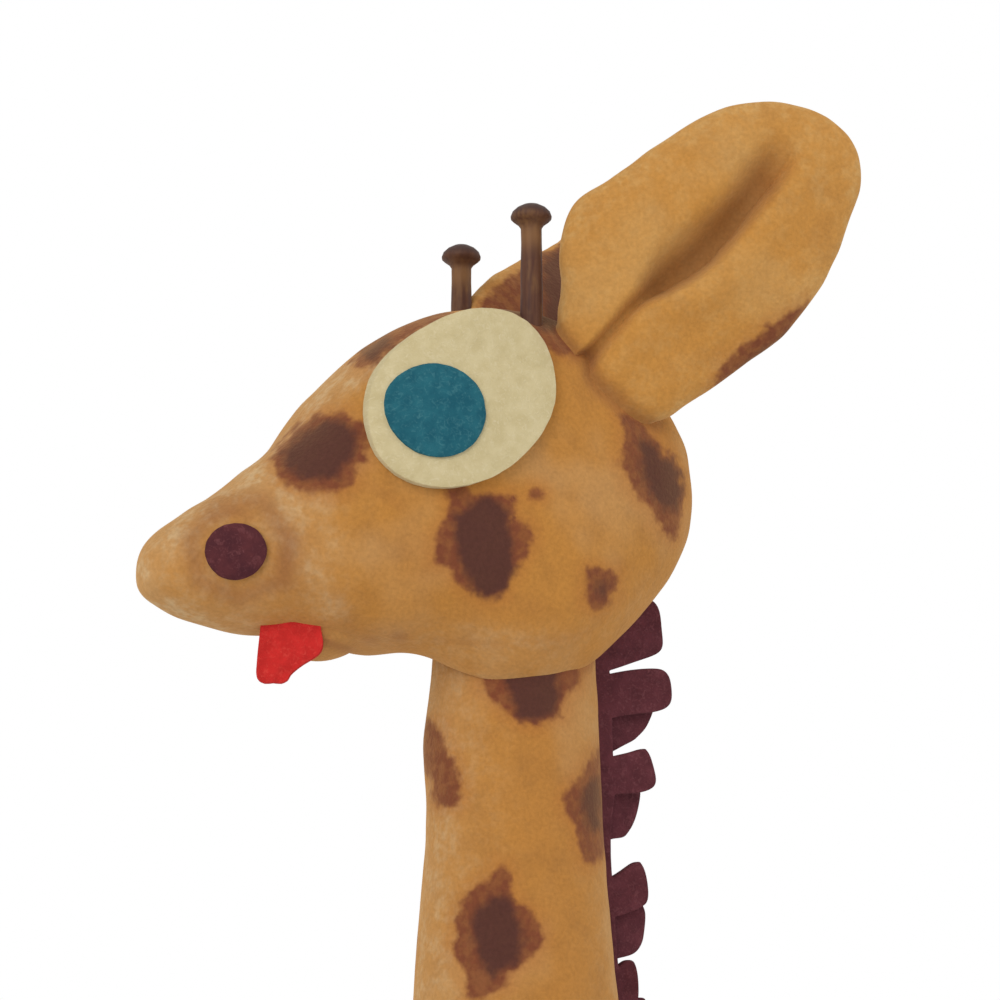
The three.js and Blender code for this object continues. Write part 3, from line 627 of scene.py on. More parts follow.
def add_stencils(depths, places, normals, cuts):
    """Lays stencils flat against a skin. Each cut is its name, a place near the skin, a turn and a size."""
    for title, place, turn, size in cuts:
        nearest = np.argmin(np.linalg.norm(places - np.array(place, float), axis=1))
        centre, outwards = places[nearest], normals[nearest]
        level = np.cross((0.0, 0.0, 1.0), outwards) + (1e-6, 0, 0)
        level /= np.linalg.norm(level)
        steep = np.cross(outwards, level)
        swing = math.radians(turn)
        first = level * math.cos(swing) + steep * math.sin(swing)
        second = np.cross(outwards, first)
        near = np.flatnonzero(np.linalg.norm(places - centre, axis=1) < STENCIL_REACH)
        offset = places[near] - centre
        flat = np.stack((offset @ first, offset @ second), axis=1)
        depth = depth_inside(flat, STENCILS[title] * size)
        turned_away = np.maximum(0, 0.1 - normals[near] @ outwards) * EDGE_FADE
        depth -= np.maximum(0, np.abs(offset @ outwards) - 4) + turned_away
        depths[0][near] = np.maximum(depths[0][near], depth)
        depths[1][near] = np.maximum(depths[1][near], depth - CORE_INSET)
    return depths

# %% [markdown]
# Rubbed places, dirt, painted light and painted shade are strokes drawn over the photograph, soft to the
# sides and alike on both halves of the toy. Where two skins are sewn together, the distance from one to the
# other says how near a place is to the seam.

# %% Strokes and seams
def along_stroke(places, line, width, strength):
    """Paint along a line drawn in the photograph's pixels, alike on both sides of the toy."""
    near_side = places * (1, -1, 1)
    near_side[:, 1] = -np.abs(places[:, 1])
    pixels = in_picture(near_side)
    nearest = np.full(len(places), np.inf)
    for start, end in zip(np.array(line[:-1], float), np.array(line[1:], float)):
        side = end - start
        part = np.clip((pixels - start) @ side / (side @ side), 0, 1)
        nearest = np.minimum(nearest, np.linalg.norm(pixels - start - part[:, None] * side, axis=1))
    return strength * np.exp(-((nearest / width) ** 2))


def painted(places, strokes):
    """What several strokes add up to. Each is a line, a width and a strength."""
    return sum(along_stroke(places, *stroke) for stroke in strokes)


def near_seam(places, tree, reach):
    """1 where a skin meets another one, falling to 0 within a few times the reach in millimetres."""
    far = 3 * reach
    distances = [tree.find_nearest(Vector(p), far)[3] for p in places]
    return np.array([0.0 if d is None else math.exp(-((d / reach) ** 2)) for d in distances])


def tree_of(mesh, places):
    return BVHTree.FromPolygons([Vector(p) for p in places], [tuple(f.vertices) for f in mesh.polygons])


# hollow holds painted shade and some dirt, and wear_and_painted_light holds wear and painted light.
def skin_fields(depths, wear_and_painted_light, hollow):
    return {
        "spot_edge": np.clip(depths[0], -6, 6), "spot_core": np.clip(depths[1], -6, 6),
        "wear_and_painted_light": np.clip(wear_and_painted_light, 0, 1), "hollow": np.clip(hollow, 0, 1),
    }


# %% [markdown]
# The head is a pear: a narrow muzzle, a square brow and full cheeks. Its sections give that form
# first, and the next steps make it this toy's head.

# %% Head
HEAD_SECTIONS = [
    [0.0, 0.285, 0.285, 0.0, 2.2], [0.008, 0.338, 0.243, 0.16, 2.2], [0.031, 0.38, 0.214, 0.28, 2.2],
    [0.08, 0.437, 0.182, 0.41, 2.2], [0.157, 0.519, 0.157, 0.53, 2.3], [0.231, 0.609, 0.154, 0.65, 2.4],
    [0.309, 0.754, 0.138, 0.78, 2.6], [0.394, 0.886, 0.127, 0.89, 2.8], [0.486, 0.967, 0.117, 0.97, 3.0],
    [0.545, 0.989, 0.102, 0.988, 3.0], [0.594, 0.998, 0.033, 1.0, 3.0], [0.642, 0.997, 0.006, 0.997, 3.0],
    [0.686, 0.991, 0.014, 0.99, 3.0], [0.738, 0.975, 0.062, 0.961, 2.9], [0.786, 0.948, 0.124, 0.93, 2.8],
    [0.876, 0.869, 0.226, 0.8, 2.6], [0.942, 0.787, 0.32, 0.63, 2.4], [0.98, 0.7, 0.42, 0.39, 2.2],
    [0.992, 0.573, 0.573, 0.0, 2.2],
]
HEAD_LENGTH, HEAD_HEIGHT, HEAD_WIDTH = 63.8, 44.0, 28.6
HEAD_FRONT, HEAD_BASE = -0.6756 * HEAD_LENGTH, NECK_TOP - 5.7
head_mesh, share, angle = ringed_sphere("head", 300, 216)
along, across, sideways = oval_section(HEAD_SECTIONS, (HEAD_LENGTH, HEAD_HEIGHT, HEAD_WIDTH), share, angle)
places = np.stack((HEAD_FRONT + along, sideways, HEAD_BASE + across), axis=1)
normals = moved(head_mesh, places)
print("the head is", HEAD_LENGTH, "mm long and its skin has", len(places), "vertices")

# %% [markdown]
# A small pad of a chin hangs under the tongue. The lower edge of the head is turned in and sewn down
# over the neck, and hangs lower on the near side. So the underside is pulled to a wavy line round
# the neck, and the head grows narrower towards it.

# %% Chin and turned hem
chin = np.array((-23.2, 0.0, NECK_TOP + 0.7))
from_chin = ((places[:, 0] - chin[0]) / 5.0) ** 2 + (places[:, 1] / 5.4) ** 2
chin_bottom = chin[2] - 2.3 * np.maximum(0, 1 - from_chin) ** 0.8
below = (normals[:, 2] < -0.2) & (from_chin < 1)
places[below, 2] = np.minimum(places[below, 2], chin_bottom[below])

HEM_HEIGHTS = [
    (-180, 0.1), (-159, -1.2), (-139, -3.0), (-108, -4.2), (-69, -2.4), (-25, 2.2), (0, 3.2), (40, 1.4),
    (75, 0.2), (105, 0.8), (130, 1.4), (161, 1.2), (180, 0.1)]
degrees_round = np.arange(-180, 180)
hem_smooth = np.interp(degrees_round, *np.array(HEM_HEIGHTS).T)
for _ in range(60):
    hem_smooth = (np.roll(hem_smooth, 3) + 2 * hem_smooth + np.roll(hem_smooth, -3)) / 4
round_neck = np.degrees(np.arctan2(places[:, 1], places[:, 0]))
hem = NECK_TOP + np.interp(round_neck, degrees_round, hem_smooth, period=360)
off_neck = np.hypot(places[:, 0], places[:, 1]) - 10.0
tucked = np.clip((6.5 - off_neck) / 5.5, 0, 1) ** 1.5 * np.clip(-normals[:, 2] * 2, 0, 1)
slope = hem + (0.3 - 0.22 * np.clip(-places[:, 0] / 9, 0, 1)) * np.maximum(off_neck - 0.7, 0) ** 1.4
places[:, 2] += tucked * (slope - places[:, 2])
rolled = np.clip((hem + 7.5 - places[:, 2]) / 7.5, 0, 1) ** 2 * np.clip((17 - np.abs(places[:, 0])) / 7, 0, 1)
places[:, 1] *= 1 - 0.24 * rolled
print("the hem lies", hem_smooth.min().round(1), "to", hem_smooth.max().round(1), "mm from the neck's top")

# %% [markdown]
# The lumps are the stuffing, which a hard-filled skin never hides: broad and small ones everywhere,
# a full cheek on each side, two ridges on the muzzle, and two long dents, one of them over the hem.
# The underside stays calm, because it lies on the neck.

# %% Lumps of the head
HEM_FOLD = [(436, 640), (500, 645), (556, 641), (590, 632)]
HEAD_RIDGES = [([(262, 467), (285, 435), (320, 397)], 16, 0.25),
               ([(255, 497), (285, 530), (310, 570), (335, 612)], 16, 0.25)]
HEAD_DENTS = [([(300, 500), (330, 545), (352, 600)], 12, 0.2), (HEM_FOLD, 5, 0.16)]
rise = 0.32 * lumps(places, 9, 1) + 0.14 * lumps(places, 3.6, 2)
rise += bulge(places, (-2, -13, NECK_TOP + 6), 9, 0.4) + bulge(places, (-2, 13, NECK_TOP + 6), 9, 0.4)
rise += painted(places, HEAD_RIDGES) - painted(places, HEAD_DENTS)
rise *= 1 - np.clip(-normals[:, 2] * 1.5, 0, 1) * np.clip((9 - off_neck) / 5, 0, 1)
calm_places = places.copy()
places += normals * rise[:, None]
normals = moved(head_mesh, places)
head_tree = tree_of(head_mesh, calm_places)
print("the lumps reach from", rise.min().round(2), "to", rise.max().round(2), "mm")

# %% [markdown]
# The head carries the photograph's spots on the near side and turned copies on the far side. Its nap is worn
# pale on the muzzle and its tip, painted highlights lie along the muzzle's ridges, the brow and the hem, and
# painted light lies on the lower cheek and jaw. Painted shade lies under the head, round the nostrils, in the
# dents, at the mouth and beside the tongue, and there is dirt on the chin and the jaw.

# %% Paint and wear of the head
head_depths = photographed_spots(HEAD_SPOTS, places, normals)
head_depths = add_stencils(head_depths, places, normals, [
    ("cheek", (-3, 14, 207), 15, 1.0), ("forehead", (-24, 8, 220), 160, 0.95),
    ("back", (14, 9, 222), -20, 0.9), ("small", (-13, 12, 202), 40, 1.2),
    ("small", (-17, -1, 234), 10, 1.1), ("diamond", (3, 3, 238), 80, 0.55),
    ("small", (-33, 5, 212), 90, 0.8)])
# Wear and pale scuffs on the muzzle and its tip, with painted highlights along the muzzle's ridges, the brow
# and the hem's rim, and painted light on the lower cheek and jaw.
head_wear_and_painted_light = 0.4 * np.clip((-20 - places[:, 0]) / 16, 0, 1) + painted(places, [
    ([(165, 540), (205, 505), (240, 485), (262, 467)], 16, 0.5),
    ([(255, 480), (285, 525), (310, 570), (335, 612)], 15, 0.45),
    ([(262, 467), (285, 437), (320, 397), (350, 365)], 14, 0.95),
    ([(354, 380), (378, 364), (404, 343), (430, 322)], 9, 1.0),
    ([(285, 497), (322, 503)], 12, 0.3),
    ([(380, 640), (470, 632), (545, 652)], 16, 0.25),
    ([(300, 505), (345, 560)], 14, 0.25),
    ([(450, 676), (522, 682), (580, 672)], 5, 0.4),
    ([(440, 655), (530, 650), (600, 630), (650, 590)], 20, 0.18),
    ([(143, 575), (150, 598), (168, 612)], 13, 1.0),
    ([(168, 610), (215, 625), (250, 632)], 10, 0.45)])
# Painted shade under the head, round the nostrils, at the mouth, on the cheek, in the dents and the hem fold;
# dirt on the chin and two small stains on the jaw.
head_dirt_and_painted_shade = 0.1 * np.clip(-normals[:, 2] - 0.6, 0, 1) * (off_neck > 2) + painted(places, [
    ([(322, 640), (350, 651)], 5, 0.5),
    ([(335, 600), (352, 632), (400, 640)], 12, 0.16),
    ([(190, 540), (215, 508), (262, 500), (290, 540), (282, 580), (240, 598), (200, 580), (190, 540)],
     12, 0.46),
    ([(216, 518), (232, 513), (250, 518)], 6, 0.25),
    ([(285, 545), (300, 590)], 24, 0.2),
    ([(408, 548), (430, 575)], 22, 0.14),
    (HEM_FOLD, 4, 0.14), ([(470, 608), (530, 606)], 16, 0.12),
    ([(367, 640), (374, 641)], 5, 0.25), ([(396, 636), (403, 637)], 5, 0.3),
    ([(345, 455), (362, 480), (400, 505)], 8, 0.15)])
print("the head has", len(HEAD_SPOTS), "spots from the photograph")

# %% [markdown]
# The neck is a long stuffed column. It goes up into the head's turned hem and spreads into the shoulders, and
# it is a little uneven, because the filling was pushed down it with a stick. The mane's seam draws its back
# in. Its front and back are painted paler as painted sheen, and its sides, the mane's seam and the band under
# the hem are painted darker as painted shade.

# %% Neck
NECK_SECTIONS = [
    [0.0, 0.0, 0.0, 0.0, 2], [0.01, 0.4, -0.4, 0.8, 2], [0.05, 0.5, -0.5, 1.0, 2],
    [0.24, 0.545, -0.545, 1.09, 2], [0.44, 0.62, -0.6, 1.2, 2], [0.62, 0.74, -0.66, 1.34, 2],
    [0.76, 0.96, -0.74, 1.54, 2], [0.88, 1.35, -0.78, 1.74, 2], [0.97, 1.7, -0.7, 1.7, 2],
    [1.0, 0.5, 0.5, 0.0, 2],
]
NECK_LENGTH, NECK_WIDTH = 98.0, 18.6
neck_mesh, share, angle = ringed_sphere("neck", 160, 216)
along, across, sideways = oval_section(NECK_SECTIONS, (NECK_LENGTH, NECK_WIDTH, NECK_WIDTH), share, angle)
places = np.stack((across, sideways, NECK_TOP + 6 - along), axis=1)
normals = moved(neck_mesh, places)
rise = 0.22 * lumps(places * (1, 1, 0.6), 8, 3) + 0.1 * lumps(places, 3.2, 4)
rise -= 0.4 * np.clip((places[:, 2] - 140) / 25, 0, 1)
rise += bulge(places, (-8.0, 3.7, 188.8), 4.5, 0.5) + bulge(places, (-8.6, -3, 188), 5, 0.2)
rise += bulge(places, (-8.5, 4, 163), 5, 0.2) - bulge(places, (-8.3, 4, 178), 5, 0.25)
mane_seam = np.exp(-((places[:, 1] / 1.3) ** 2)) * (normals[:, 0] > 0.3)
rise -= 0.7 * mane_seam
places += normals * rise[:, None]
normals = moved(neck_mesh, places)
depths = photographed_spots(NECK_SPOTS, places, normals)
depths = add_stencils(depths, places, normals, [
    ("diamond", (0, 10, 184), 10, 0.9), ("left", (-9, 5, 168), 0, 1.0), ("cheek", (4, 11, 158), 30, 0.9),
    ("cheek", (-4, -12, 146), 20, 0.95), ("forehead", (9, -11, 138), 70, 0.9),
    ("diamond", (-4, 12, 137), -30, 0.9), ("small", (8, 8, 172), 0, 1.2), ("back", (-12, -5, 130), 40, 0.8),
    ("cheek", (14, 14, 124), 80, 0.9), ("small", (-11, 2, 150), 30, 1.3),
    ("diamond", (6, -14, 120), 50, 0.8)])
under_hem = near_seam(places, tree_of(head_mesh, places_of(head_mesh)), 0.9)
neck_tree = tree_of(neck_mesh, places)
# Painted sheen: the front and back of the neck are painted paler. Painted shade: its sides, the mane's seam
# and the band under the hem are painted darker.
off_front = np.degrees(np.arccos(np.clip(-normals[:, 0], -1, 1)))
painted_edge_sheen = 0.64 * np.exp(-((off_front / 42) ** 2)) + 0.34 * np.exp(-(((off_front - 150) / 32) ** 2))
darker_tone = 0.12 * np.exp(-(((off_front - 88) / 34) ** 2))
hem_shadow_strength = 0.6 - along_stroke(places, [(430, 660), (470, 676)], 22, 0.5)
finish_piece("neck_skin", neck_mesh, tan_velveteen, ["neck"],
             fields=skin_fields(depths, painted_edge_sheen, hem_shadow_strength * under_hem + 0.4 * mane_seam + darker_tone))

# %% [markdown]
# Two helpers say where the seams are. The mane needs the line of the neck's back. Where two skins
# cross, the columns of the upper skin's mesh are followed down to the place at which they come out
# of the other one, and these places in turn are the stitches of a seam.

# %% Back of the neck and seams between skins
def neck_back(heights):
    """The x of the neck's back at each height, straight above the neck's top."""
    fine = curve_through(NECK_SECTIONS, np.linspace(0, 1, 400))
    depth_down = (NECK_TOP + 6 - np.minimum(heights, NECK_TOP)) / NECK_LENGTH
    return np.interp(depth_down, fine[:, 0], fine[:, 1]) * NECK_WIDTH


def seam_points(places, normals, share, angle, tree, step):
    """Where a skin of rings comes out of another one: for every few columns of its vertices the place,
    the way out of the cloth, the way along the seam and the way down the skin."""
    columns = np.round(np.degrees(angle), 2)
    found = []
    for column in np.unique(columns)[::step]:
        rows = np.flatnonzero(columns == column)
        rows = rows[np.argsort(share[rows])]
        inside = []
        for row in rows:
            near, facing, _, _ = tree.find_nearest(Vector(places[row]))
            inside.append((Vector(places[row]) - near).dot(facing) < 0)
        changes = [i for i in range(1, len(rows)) if inside[i - 1] != inside[i]]
        if changes:
            found.append((changes[-1], rows))
    points = []
    for number, (change, rows) in enumerate(found):
        place = places[rows[change]]
        after_change, after_rows = found[(number + 1) % len(found)]
        sideways = places[after_rows[after_change]] - place
        down = places[rows[min(change + 3, len(rows) - 1)]] - places[rows[change - 1]]
        near, facing, _, _ = tree.find_nearest(Vector(place))
        out = normals[rows[change]] + np.array(facing)
        sideways, down = sideways / max(np.linalg.norm(sideways), 1e-6), down / np.linalg.norm(down)
        points.append((place, out, sideways, down))
    return points


# %% [markdown]
# The body is a short barrel on four tapering legs. The photograph doesn't show them, so they are
# plain, well-stuffed forms in the same cloth, a little raked and splayed so that the toy stands. A
# seam runs along the back and the belly.

# %% Body
TORSO_SECTIONS = [
    [0.0, 0.52, 0.52, 0.0, 2.1], [0.02, 0.76, 0.32, 0.48, 2.1], [0.085, 0.91, 0.15, 0.78, 2.2],
    [0.18, 0.97, 0.06, 0.92, 2.3], [0.31, 0.99, 0.01, 1.0, 2.3], [0.48, 0.91, 0.0, 1.0, 2.3],
    [0.65, 0.85, 0.02, 0.98, 2.3], [0.8, 0.82, 0.06, 0.93, 2.2], [0.92, 0.75, 0.17, 0.74, 2.1],
    [0.98, 0.64, 0.32, 0.43, 2.1], [1.0, 0.48, 0.48, 0.0, 2.1],
]
TORSO_SIZE = (94.0, 50.0, 44.0)  # length, depth and width
TORSO_AHEAD, BELLY = 17.0, 74.0
torso_mesh, share, angle = ringed_sphere("torso", 220, 180)
along, across, sideways = oval_section(TORSO_SECTIONS, TORSO_SIZE, share, angle)
places = np.stack((along - TORSO_AHEAD, sideways, BELLY + across), axis=1)
normals = moved(torso_mesh, places)
back_seam = np.exp(-((places[:, 1] / 0.8) ** 2)) * (np.abs(normals[:, 2]) > 0.15)
rise = 0.5 * lumps(places, 12, 5) + 0.2 * lumps(places, 4.5, 6) - 0.5 * back_seam
places += normals * rise[:, None]
normals = moved(torso_mesh, places)
torso_depths = add_stencils(bare(places), places, normals, [
    ("diamond", (8, -21, 108), 20, 1.2), ("cheek", (30, -22, 104), 70, 1.2),
    ("forehead", (52, -20, 108), 10, 1.2), ("diamond", (66, -15, 98), -30, 1.0),
    ("small", (20, -22, 92), 0, 1.5), ("cheek", (42, -21, 90), 20, 1.0),
    ("forehead", (-6, -16, 96), 40, 1.0), ("back", (62, -19, 84), 60, 0.9),
    ("diamond", (24, -8, 124), 90, 1.1), ("forehead", (46, 4, 119), 30, 1.2),
    ("cheek", (66, -3, 113), 80, 1.0), ("diamond", (10, 21, 104), -20, 1.2),
    ("forehead", (32, 22, 108), 50, 1.2), ("cheek", (54, 20, 102), 10, 1.2),
    ("small", (42, 21, 90), 20, 1.4), ("diamond", (68, 13, 96), 60, 1.0), ("back", (22, 21, 90), 90, 0.9),
    ("forehead", (-6, 15, 98), -40, 1.0), ("cheek", (28, 12, 122), 80, 0.9),
    ("small", (-14, -3, 100), 0, 1.6), ("cheek", (30, 4, 74), 60, 1.0), ("small", (48, -6, 75), 30, 1.4)])
# Painted light and shade: the top of the body is painted paler, and its underside and back seam darker.
torso_painted_top_light = 0.25 * np.clip(normals[:, 2] - 0.6, 0, 1)
torso_painted_shade = 0.3 * np.clip(-normals[:, 2] - 0.4, 0, 1) + 0.35 * back_seam
torso_tree = tree_of(torso_mesh, places)
print("the torso's skin has", len(places), "vertices")

# %% [markdown]
# Where two skins are sewn together, the thread draws both in, and the cloth beside it puckers into small
# uneven gathers. Each leg has one seam down its inner side. The seams are painted darker as painted shade,
# and the legs are painted darker towards the bottom.

# %% Legs
def gathered_seam(places, tree, seed):
    """How near a skin is to a seam with another one, and how far the thread draws it in or puckers it."""
    sewn, beside = near_seam(places, tree, 1.0), near_seam(places, tree, 2.6)
    return sewn, -0.55 * sewn + 0.45 * beside * lumps(places, 1.9, seed)


LEG_SECTIONS = [
    [0.0, 0.0, 0.0, 0.0, 2], [0.02, 0.24, -0.24, 0.46, 2], [0.1, 0.44, -0.44, 0.84, 2],
    [0.26, 0.5, -0.5, 1.0, 2], [0.5, 0.385, -0.385, 0.8, 2], [0.76, 0.325, -0.325, 0.7, 2],
    [0.92, 0.355, -0.355, 0.78, 2], [0.985, 0.35, -0.35, 0.77, 2], [1.0, 0.32, -0.32, 0.7, 2],
    [1.0, 0.0, 0.0, 0.0, 2],
]
LEG_LENGTH, LEG_DEPTH, LEG_WIDTH, HIP_HEIGHT = 92.2, 25.0, 21.0, 94.0
HIP_OFF, FOOT_OFF = 11, 14  # from the toy's mid-plane to the middle of a hip and of a foot
HIPS = {"front": (TORSO_SIZE[0] * 0.234 - TORSO_AHEAD, -3.0),
        "hind": (TORSO_SIZE[0] * 0.819 - TORSO_AHEAD, 3.0)}
SIDES = {"left": -1, "right": 1}
leg_spots = {
    "front_left": [("cheek", (6, -24, 86), 10, 0.9), ("small", (0, -22, 62), 0, 1.4),
                   ("diamond", (8, -18, 48), 20, 0.7), ("small", (-3, -21, 26), 40, 1.3),
                   ("small", (9, -8, 70), 0, 1.3)],
    "front_right": [("diamond", (6, 24, 84), 10, 0.8), ("small", (-2, 20, 58), 0, 1.4),
                    ("cheek", (6, 20, 38), 80, 0.7), ("small", (4, 8, 60), 20, 1.3)],
    "hind_left": [("diamond", (62, -24, 86), -20, 0.9), ("cheek", (57, -21, 60), 30, 0.7),
                  ("small", (68, -19, 46), 0, 1.4), ("small", (60, -21, 24), 0, 1.3),
                  ("small", (60, -6, 66), 0, 1.3)],
    "hind_right": [("cheek", (62, 24, 84), -10, 0.9), ("small", (56, 20, 60), 30, 1.5),
                   ("diamond", (66, 20, 42), 60, 0.6), ("small", (60, 8, 50), 0, 1.3)],
}
leg_trees, leg_seams = [], {}
for end, (hip_x, rake) in HIPS.items():
    for side_name, side in SIDES.items():
        leg_name = f"{end}_{side_name}"
        leg_mesh, share, angle = ringed_sphere(leg_name, 104, 150)
        along, across, sideways = oval_section(LEG_SECTIONS, (LEG_LENGTH, LEG_DEPTH, LEG_WIDTH), share, angle)
        part = along / LEG_LENGTH
        middle = hip_x + rake * part
        places = np.stack((
            middle + across, side * (HIP_OFF + (FOOT_OFF - HIP_OFF) * part) + sideways, HIP_HEIGHT - along),
            axis=1)
        normals = moved(leg_mesh, places)
        seed = 10 + hip_x + side
        steady = np.clip((places[:, 2] - 3) / 6, 0, 1)
        seam = np.exp(-(((places[:, 0] - middle) / 0.7) ** 2)) * (normals[:, 1] * side < -0.3)
        rise = 0.3 * lumps(places * (1, 1, 0.6), 7, seed) + 0.12 * lumps(places, 3, seed + 1) - 0.4 * seam
        sewn, drawn_in = gathered_seam(places, torso_tree, seed + 2)
        leg_trees.append(tree_of(leg_mesh, places))
        leg_seams[leg_name] = seam_points(places, normals, share, angle, torso_tree, 4)
        places += normals * (steady * rise + drawn_in)[:, None]
        normals = moved(leg_mesh, places)
        depths = add_stencils(bare(places), places, normals, leg_spots[leg_name])
        # Painted shade along the seams, and the legs painted darker towards the bottom.
        hollow = 0.4 * np.clip((12 - places[:, 2]) / 12, 0, 1) + 0.2 * seam + 0.4 * sewn
        finish_piece(f"{leg_name}_leg_skin", leg_mesh, tan_velveteen, [f"{leg_name}_leg"],
                     fields=skin_fields(depths, 0 * share, hollow))

# %% [markdown]
# The legs and the neck are sewn to the body from outside, so the body's own skin dips along those
# seams too. It is finished now that its neighbours are known.

# %% Join the body
places = places_of(torso_mesh)
sewn, drawn_in = np.zeros(len(places)), np.zeros(len(places))
for number, tree in enumerate((*leg_trees, neck_tree)):
    one_sewn, one_drawn = gathered_seam(places, tree, 60 + number)
    sewn, drawn_in = np.maximum(sewn, one_sewn), drawn_in + one_drawn
move_to(torso_mesh, places + outward(torso_mesh) * np.clip(drawn_in, -0.9, 0.5)[:, None])
# The seams with the legs and the neck are painted darker, as painted shade.
finish_piece("torso_skin", torso_mesh, tan_velveteen, ["torso"],
             fields=skin_fields(torso_depths, torso_painted_top_light, torso_painted_shade + 0.45 * sewn))

# %% [markdown]
# The stitches are real thread: each is a small ellipsoid of waxed cotton that lies across the seam,
# half sunk into the nap. A real thread of 0.3 mm would hardly show, so it is drawn a little thicker.

# %% Stitch the legs to the body
THREAD_THICK = 0.55


def stitch_line(name, stitches, body="trunk"):
    """Thread stitches as one piece. Each is its middle, its direction, the way out of the cloth and its
    length."""
    bm = bmesh.new()
    for middle, along, out, length in stitches:
        along = Vector(along).normalized()
        out = Vector(out)
        out = (out - along * out.dot(along)).normalized()
        across = out.cross(along)
        halves = (across * THREAD_THICK / 2, out * THREAD_THICK / 2, along * length / 2)
        axes = Matrix(halves).transposed().to_4x4()
        place = Matrix.Translation(Vector(middle) + out * THREAD_THICK * 0.2) @ axes
        bmesh.ops.create_uvsphere(bm, u_segments=6, v_segments=5, radius=1.0, matrix=place)
    return finish_piece(name, finished_mesh(bm, name), thread_cotton, body=body)


for leg_name, points in leg_seams.items():
    stitches = [(middle, Vector(down) + Vector(seam) * 0.5, out, 2.6) for middle, out, seam, down in points]
    stitch_line(f"{leg_name}_leg_stitches", stitches)

# %% [markdown]
# Flat felt pieces are cut with scissors from sheets 1.0 and 1.2 mm thick, so their outlines waver and
# their edges are soft. Each starts as a grid pulled into a round, is extruded to the felt's
# thickness, and gets a small bevel on its rim, which the glue presses down. Then it is laid on the
# head: every point is sent sideways to the skin and stands off it by its own height, as a glued
# sheet would.

# %% Felt rounds
FELT_THICK = 1.2  # mm, the thickness of the heavier felt
RIM_PRESSED, PRESS_REACH = 0.4, 0.6  # how much thinner the rim is, and how far in from it that reaches, in mm


def extruded(bm):
    """Gives a flat bmesh a second side and returns the vertices of that side."""
    raised = bmesh.ops.extrude_face_region(bm, geom=bm.faces[:])
    return [v for v in raised["geom"] if isinstance(v, bmesh.types.BMVert)]


def felt_round(name, width, height, tilt, steps, thickness, waver, seed):
    """A flat felt round in millimetres, with its underside at zero."""
    bm = bmesh.new()
    bmesh.ops.create_grid(bm, x_segments=steps, y_segments=steps, size=1.0)
    for vert in bm.verts:
        x, y = vert.co.x, vert.co.y
        x, y = x * math.sqrt(1 - y * y / 2), y * math.sqrt(1 - x * x / 2)
        around = math.atan2(y, x)
        rim = 1 + waver * noise.noise(Vector((math.cos(around) * 1.6, math.sin(around) * 1.6, seed)))
        rim += waver * 0.4 * noise.noise(Vector((math.cos(around) * 6, math.sin(around) * 6, seed + 5)))
        vert.co = (x * rim * width / 2, y * rim * height / 2, 0)
    bmesh.ops.rotate(bm, verts=bm.verts, cent=(0, 0, 0), matrix=Matrix.Rotation(math.radians(tilt), 3, "Z"))
    for vert in extruded(bm):
        inset = width / 2 - math.hypot(vert.co.x, vert.co.y)
        vert.co.z = thickness * (1 - RIM_PRESSED * math.exp(-max(inset, 0) / PRESS_REACH))
    bmesh.ops.recalc_face_normals(bm, faces=bm.faces)
    rims = [e for e in bm.edges if e.is_manifold and e.calc_face_angle() > 1.0]
    bmesh.ops.bevel(bm, geom=rims, offset=0.14, segments=3, profile=0.5, affect="EDGES", material=-1,
                    clamp_overlap=True)
    return finished_mesh(bm, name)


def lay_on_head(mesh, centre_x, centre_z, side, lift, stiff=0.0):
    """Lays a flat felt round on the side of the head, so that it keeps its outline in the side view.
    A stiff one doesn't bend down over the brow: it stays this near to the head's widest place."""
    inwards = Vector((0, -side, 0))
    laid = []
    for across, up, height in places_of(mesh):
        wanted = Vector((centre_x + across, 0, centre_z + up))
        aim = wanted.copy()
        for _ in range(5):
            start = Vector((aim.x, side * 60, aim.z))
            found, normal, _, _ = head_tree.ray_cast(start, inwards)
            if found is None:
                found, normal, _, _ = head_tree.find_nearest(Vector((aim.x, side * 6, aim.z)))
            place = found + normal * (height + lift)
            aim += 0.8 * Vector((wanted.x - place.x, 0, wanted.z - place.z))
        if stiff:
            share = (wanted.x - HEAD_FRONT) / HEAD_LENGTH
            widest = np.interp(share, [row[0] for row in HEAD_SECTIONS], [row[3] for row in HEAD_SECTIONS])
            least = widest * HEAD_WIDTH / 2 - stiff + height + lift
            over = max(0.0, wanted.z - NECK_TOP - 24) / 8
            reach = abs(place.y)
            behind_front = min(max((wanted.x + 22.5) / 10, 0.0), 1.0)
            reach += max(0.0, least - reach) * min(over, 1.0) * behind_front ** 2 * (3 - 2 * behind_front)
            place = Vector((wanted.x, side * reach, wanted.z))
        laid.append(place)
    move_to(mesh, np.array(laid))
    fuzz = outward(mesh)
    laid = places_of(mesh)
    move_to(mesh, laid + fuzz * (0.04 * lumps(laid, 0.8, 3))[:, None])

# %% [markdown]
# The eye is two rounds, a small one on a large one, and its white is stiff enough to bridge the
# hollow beside the brow. The nostrils are punched discs. The right ones are the left ones mirrored.

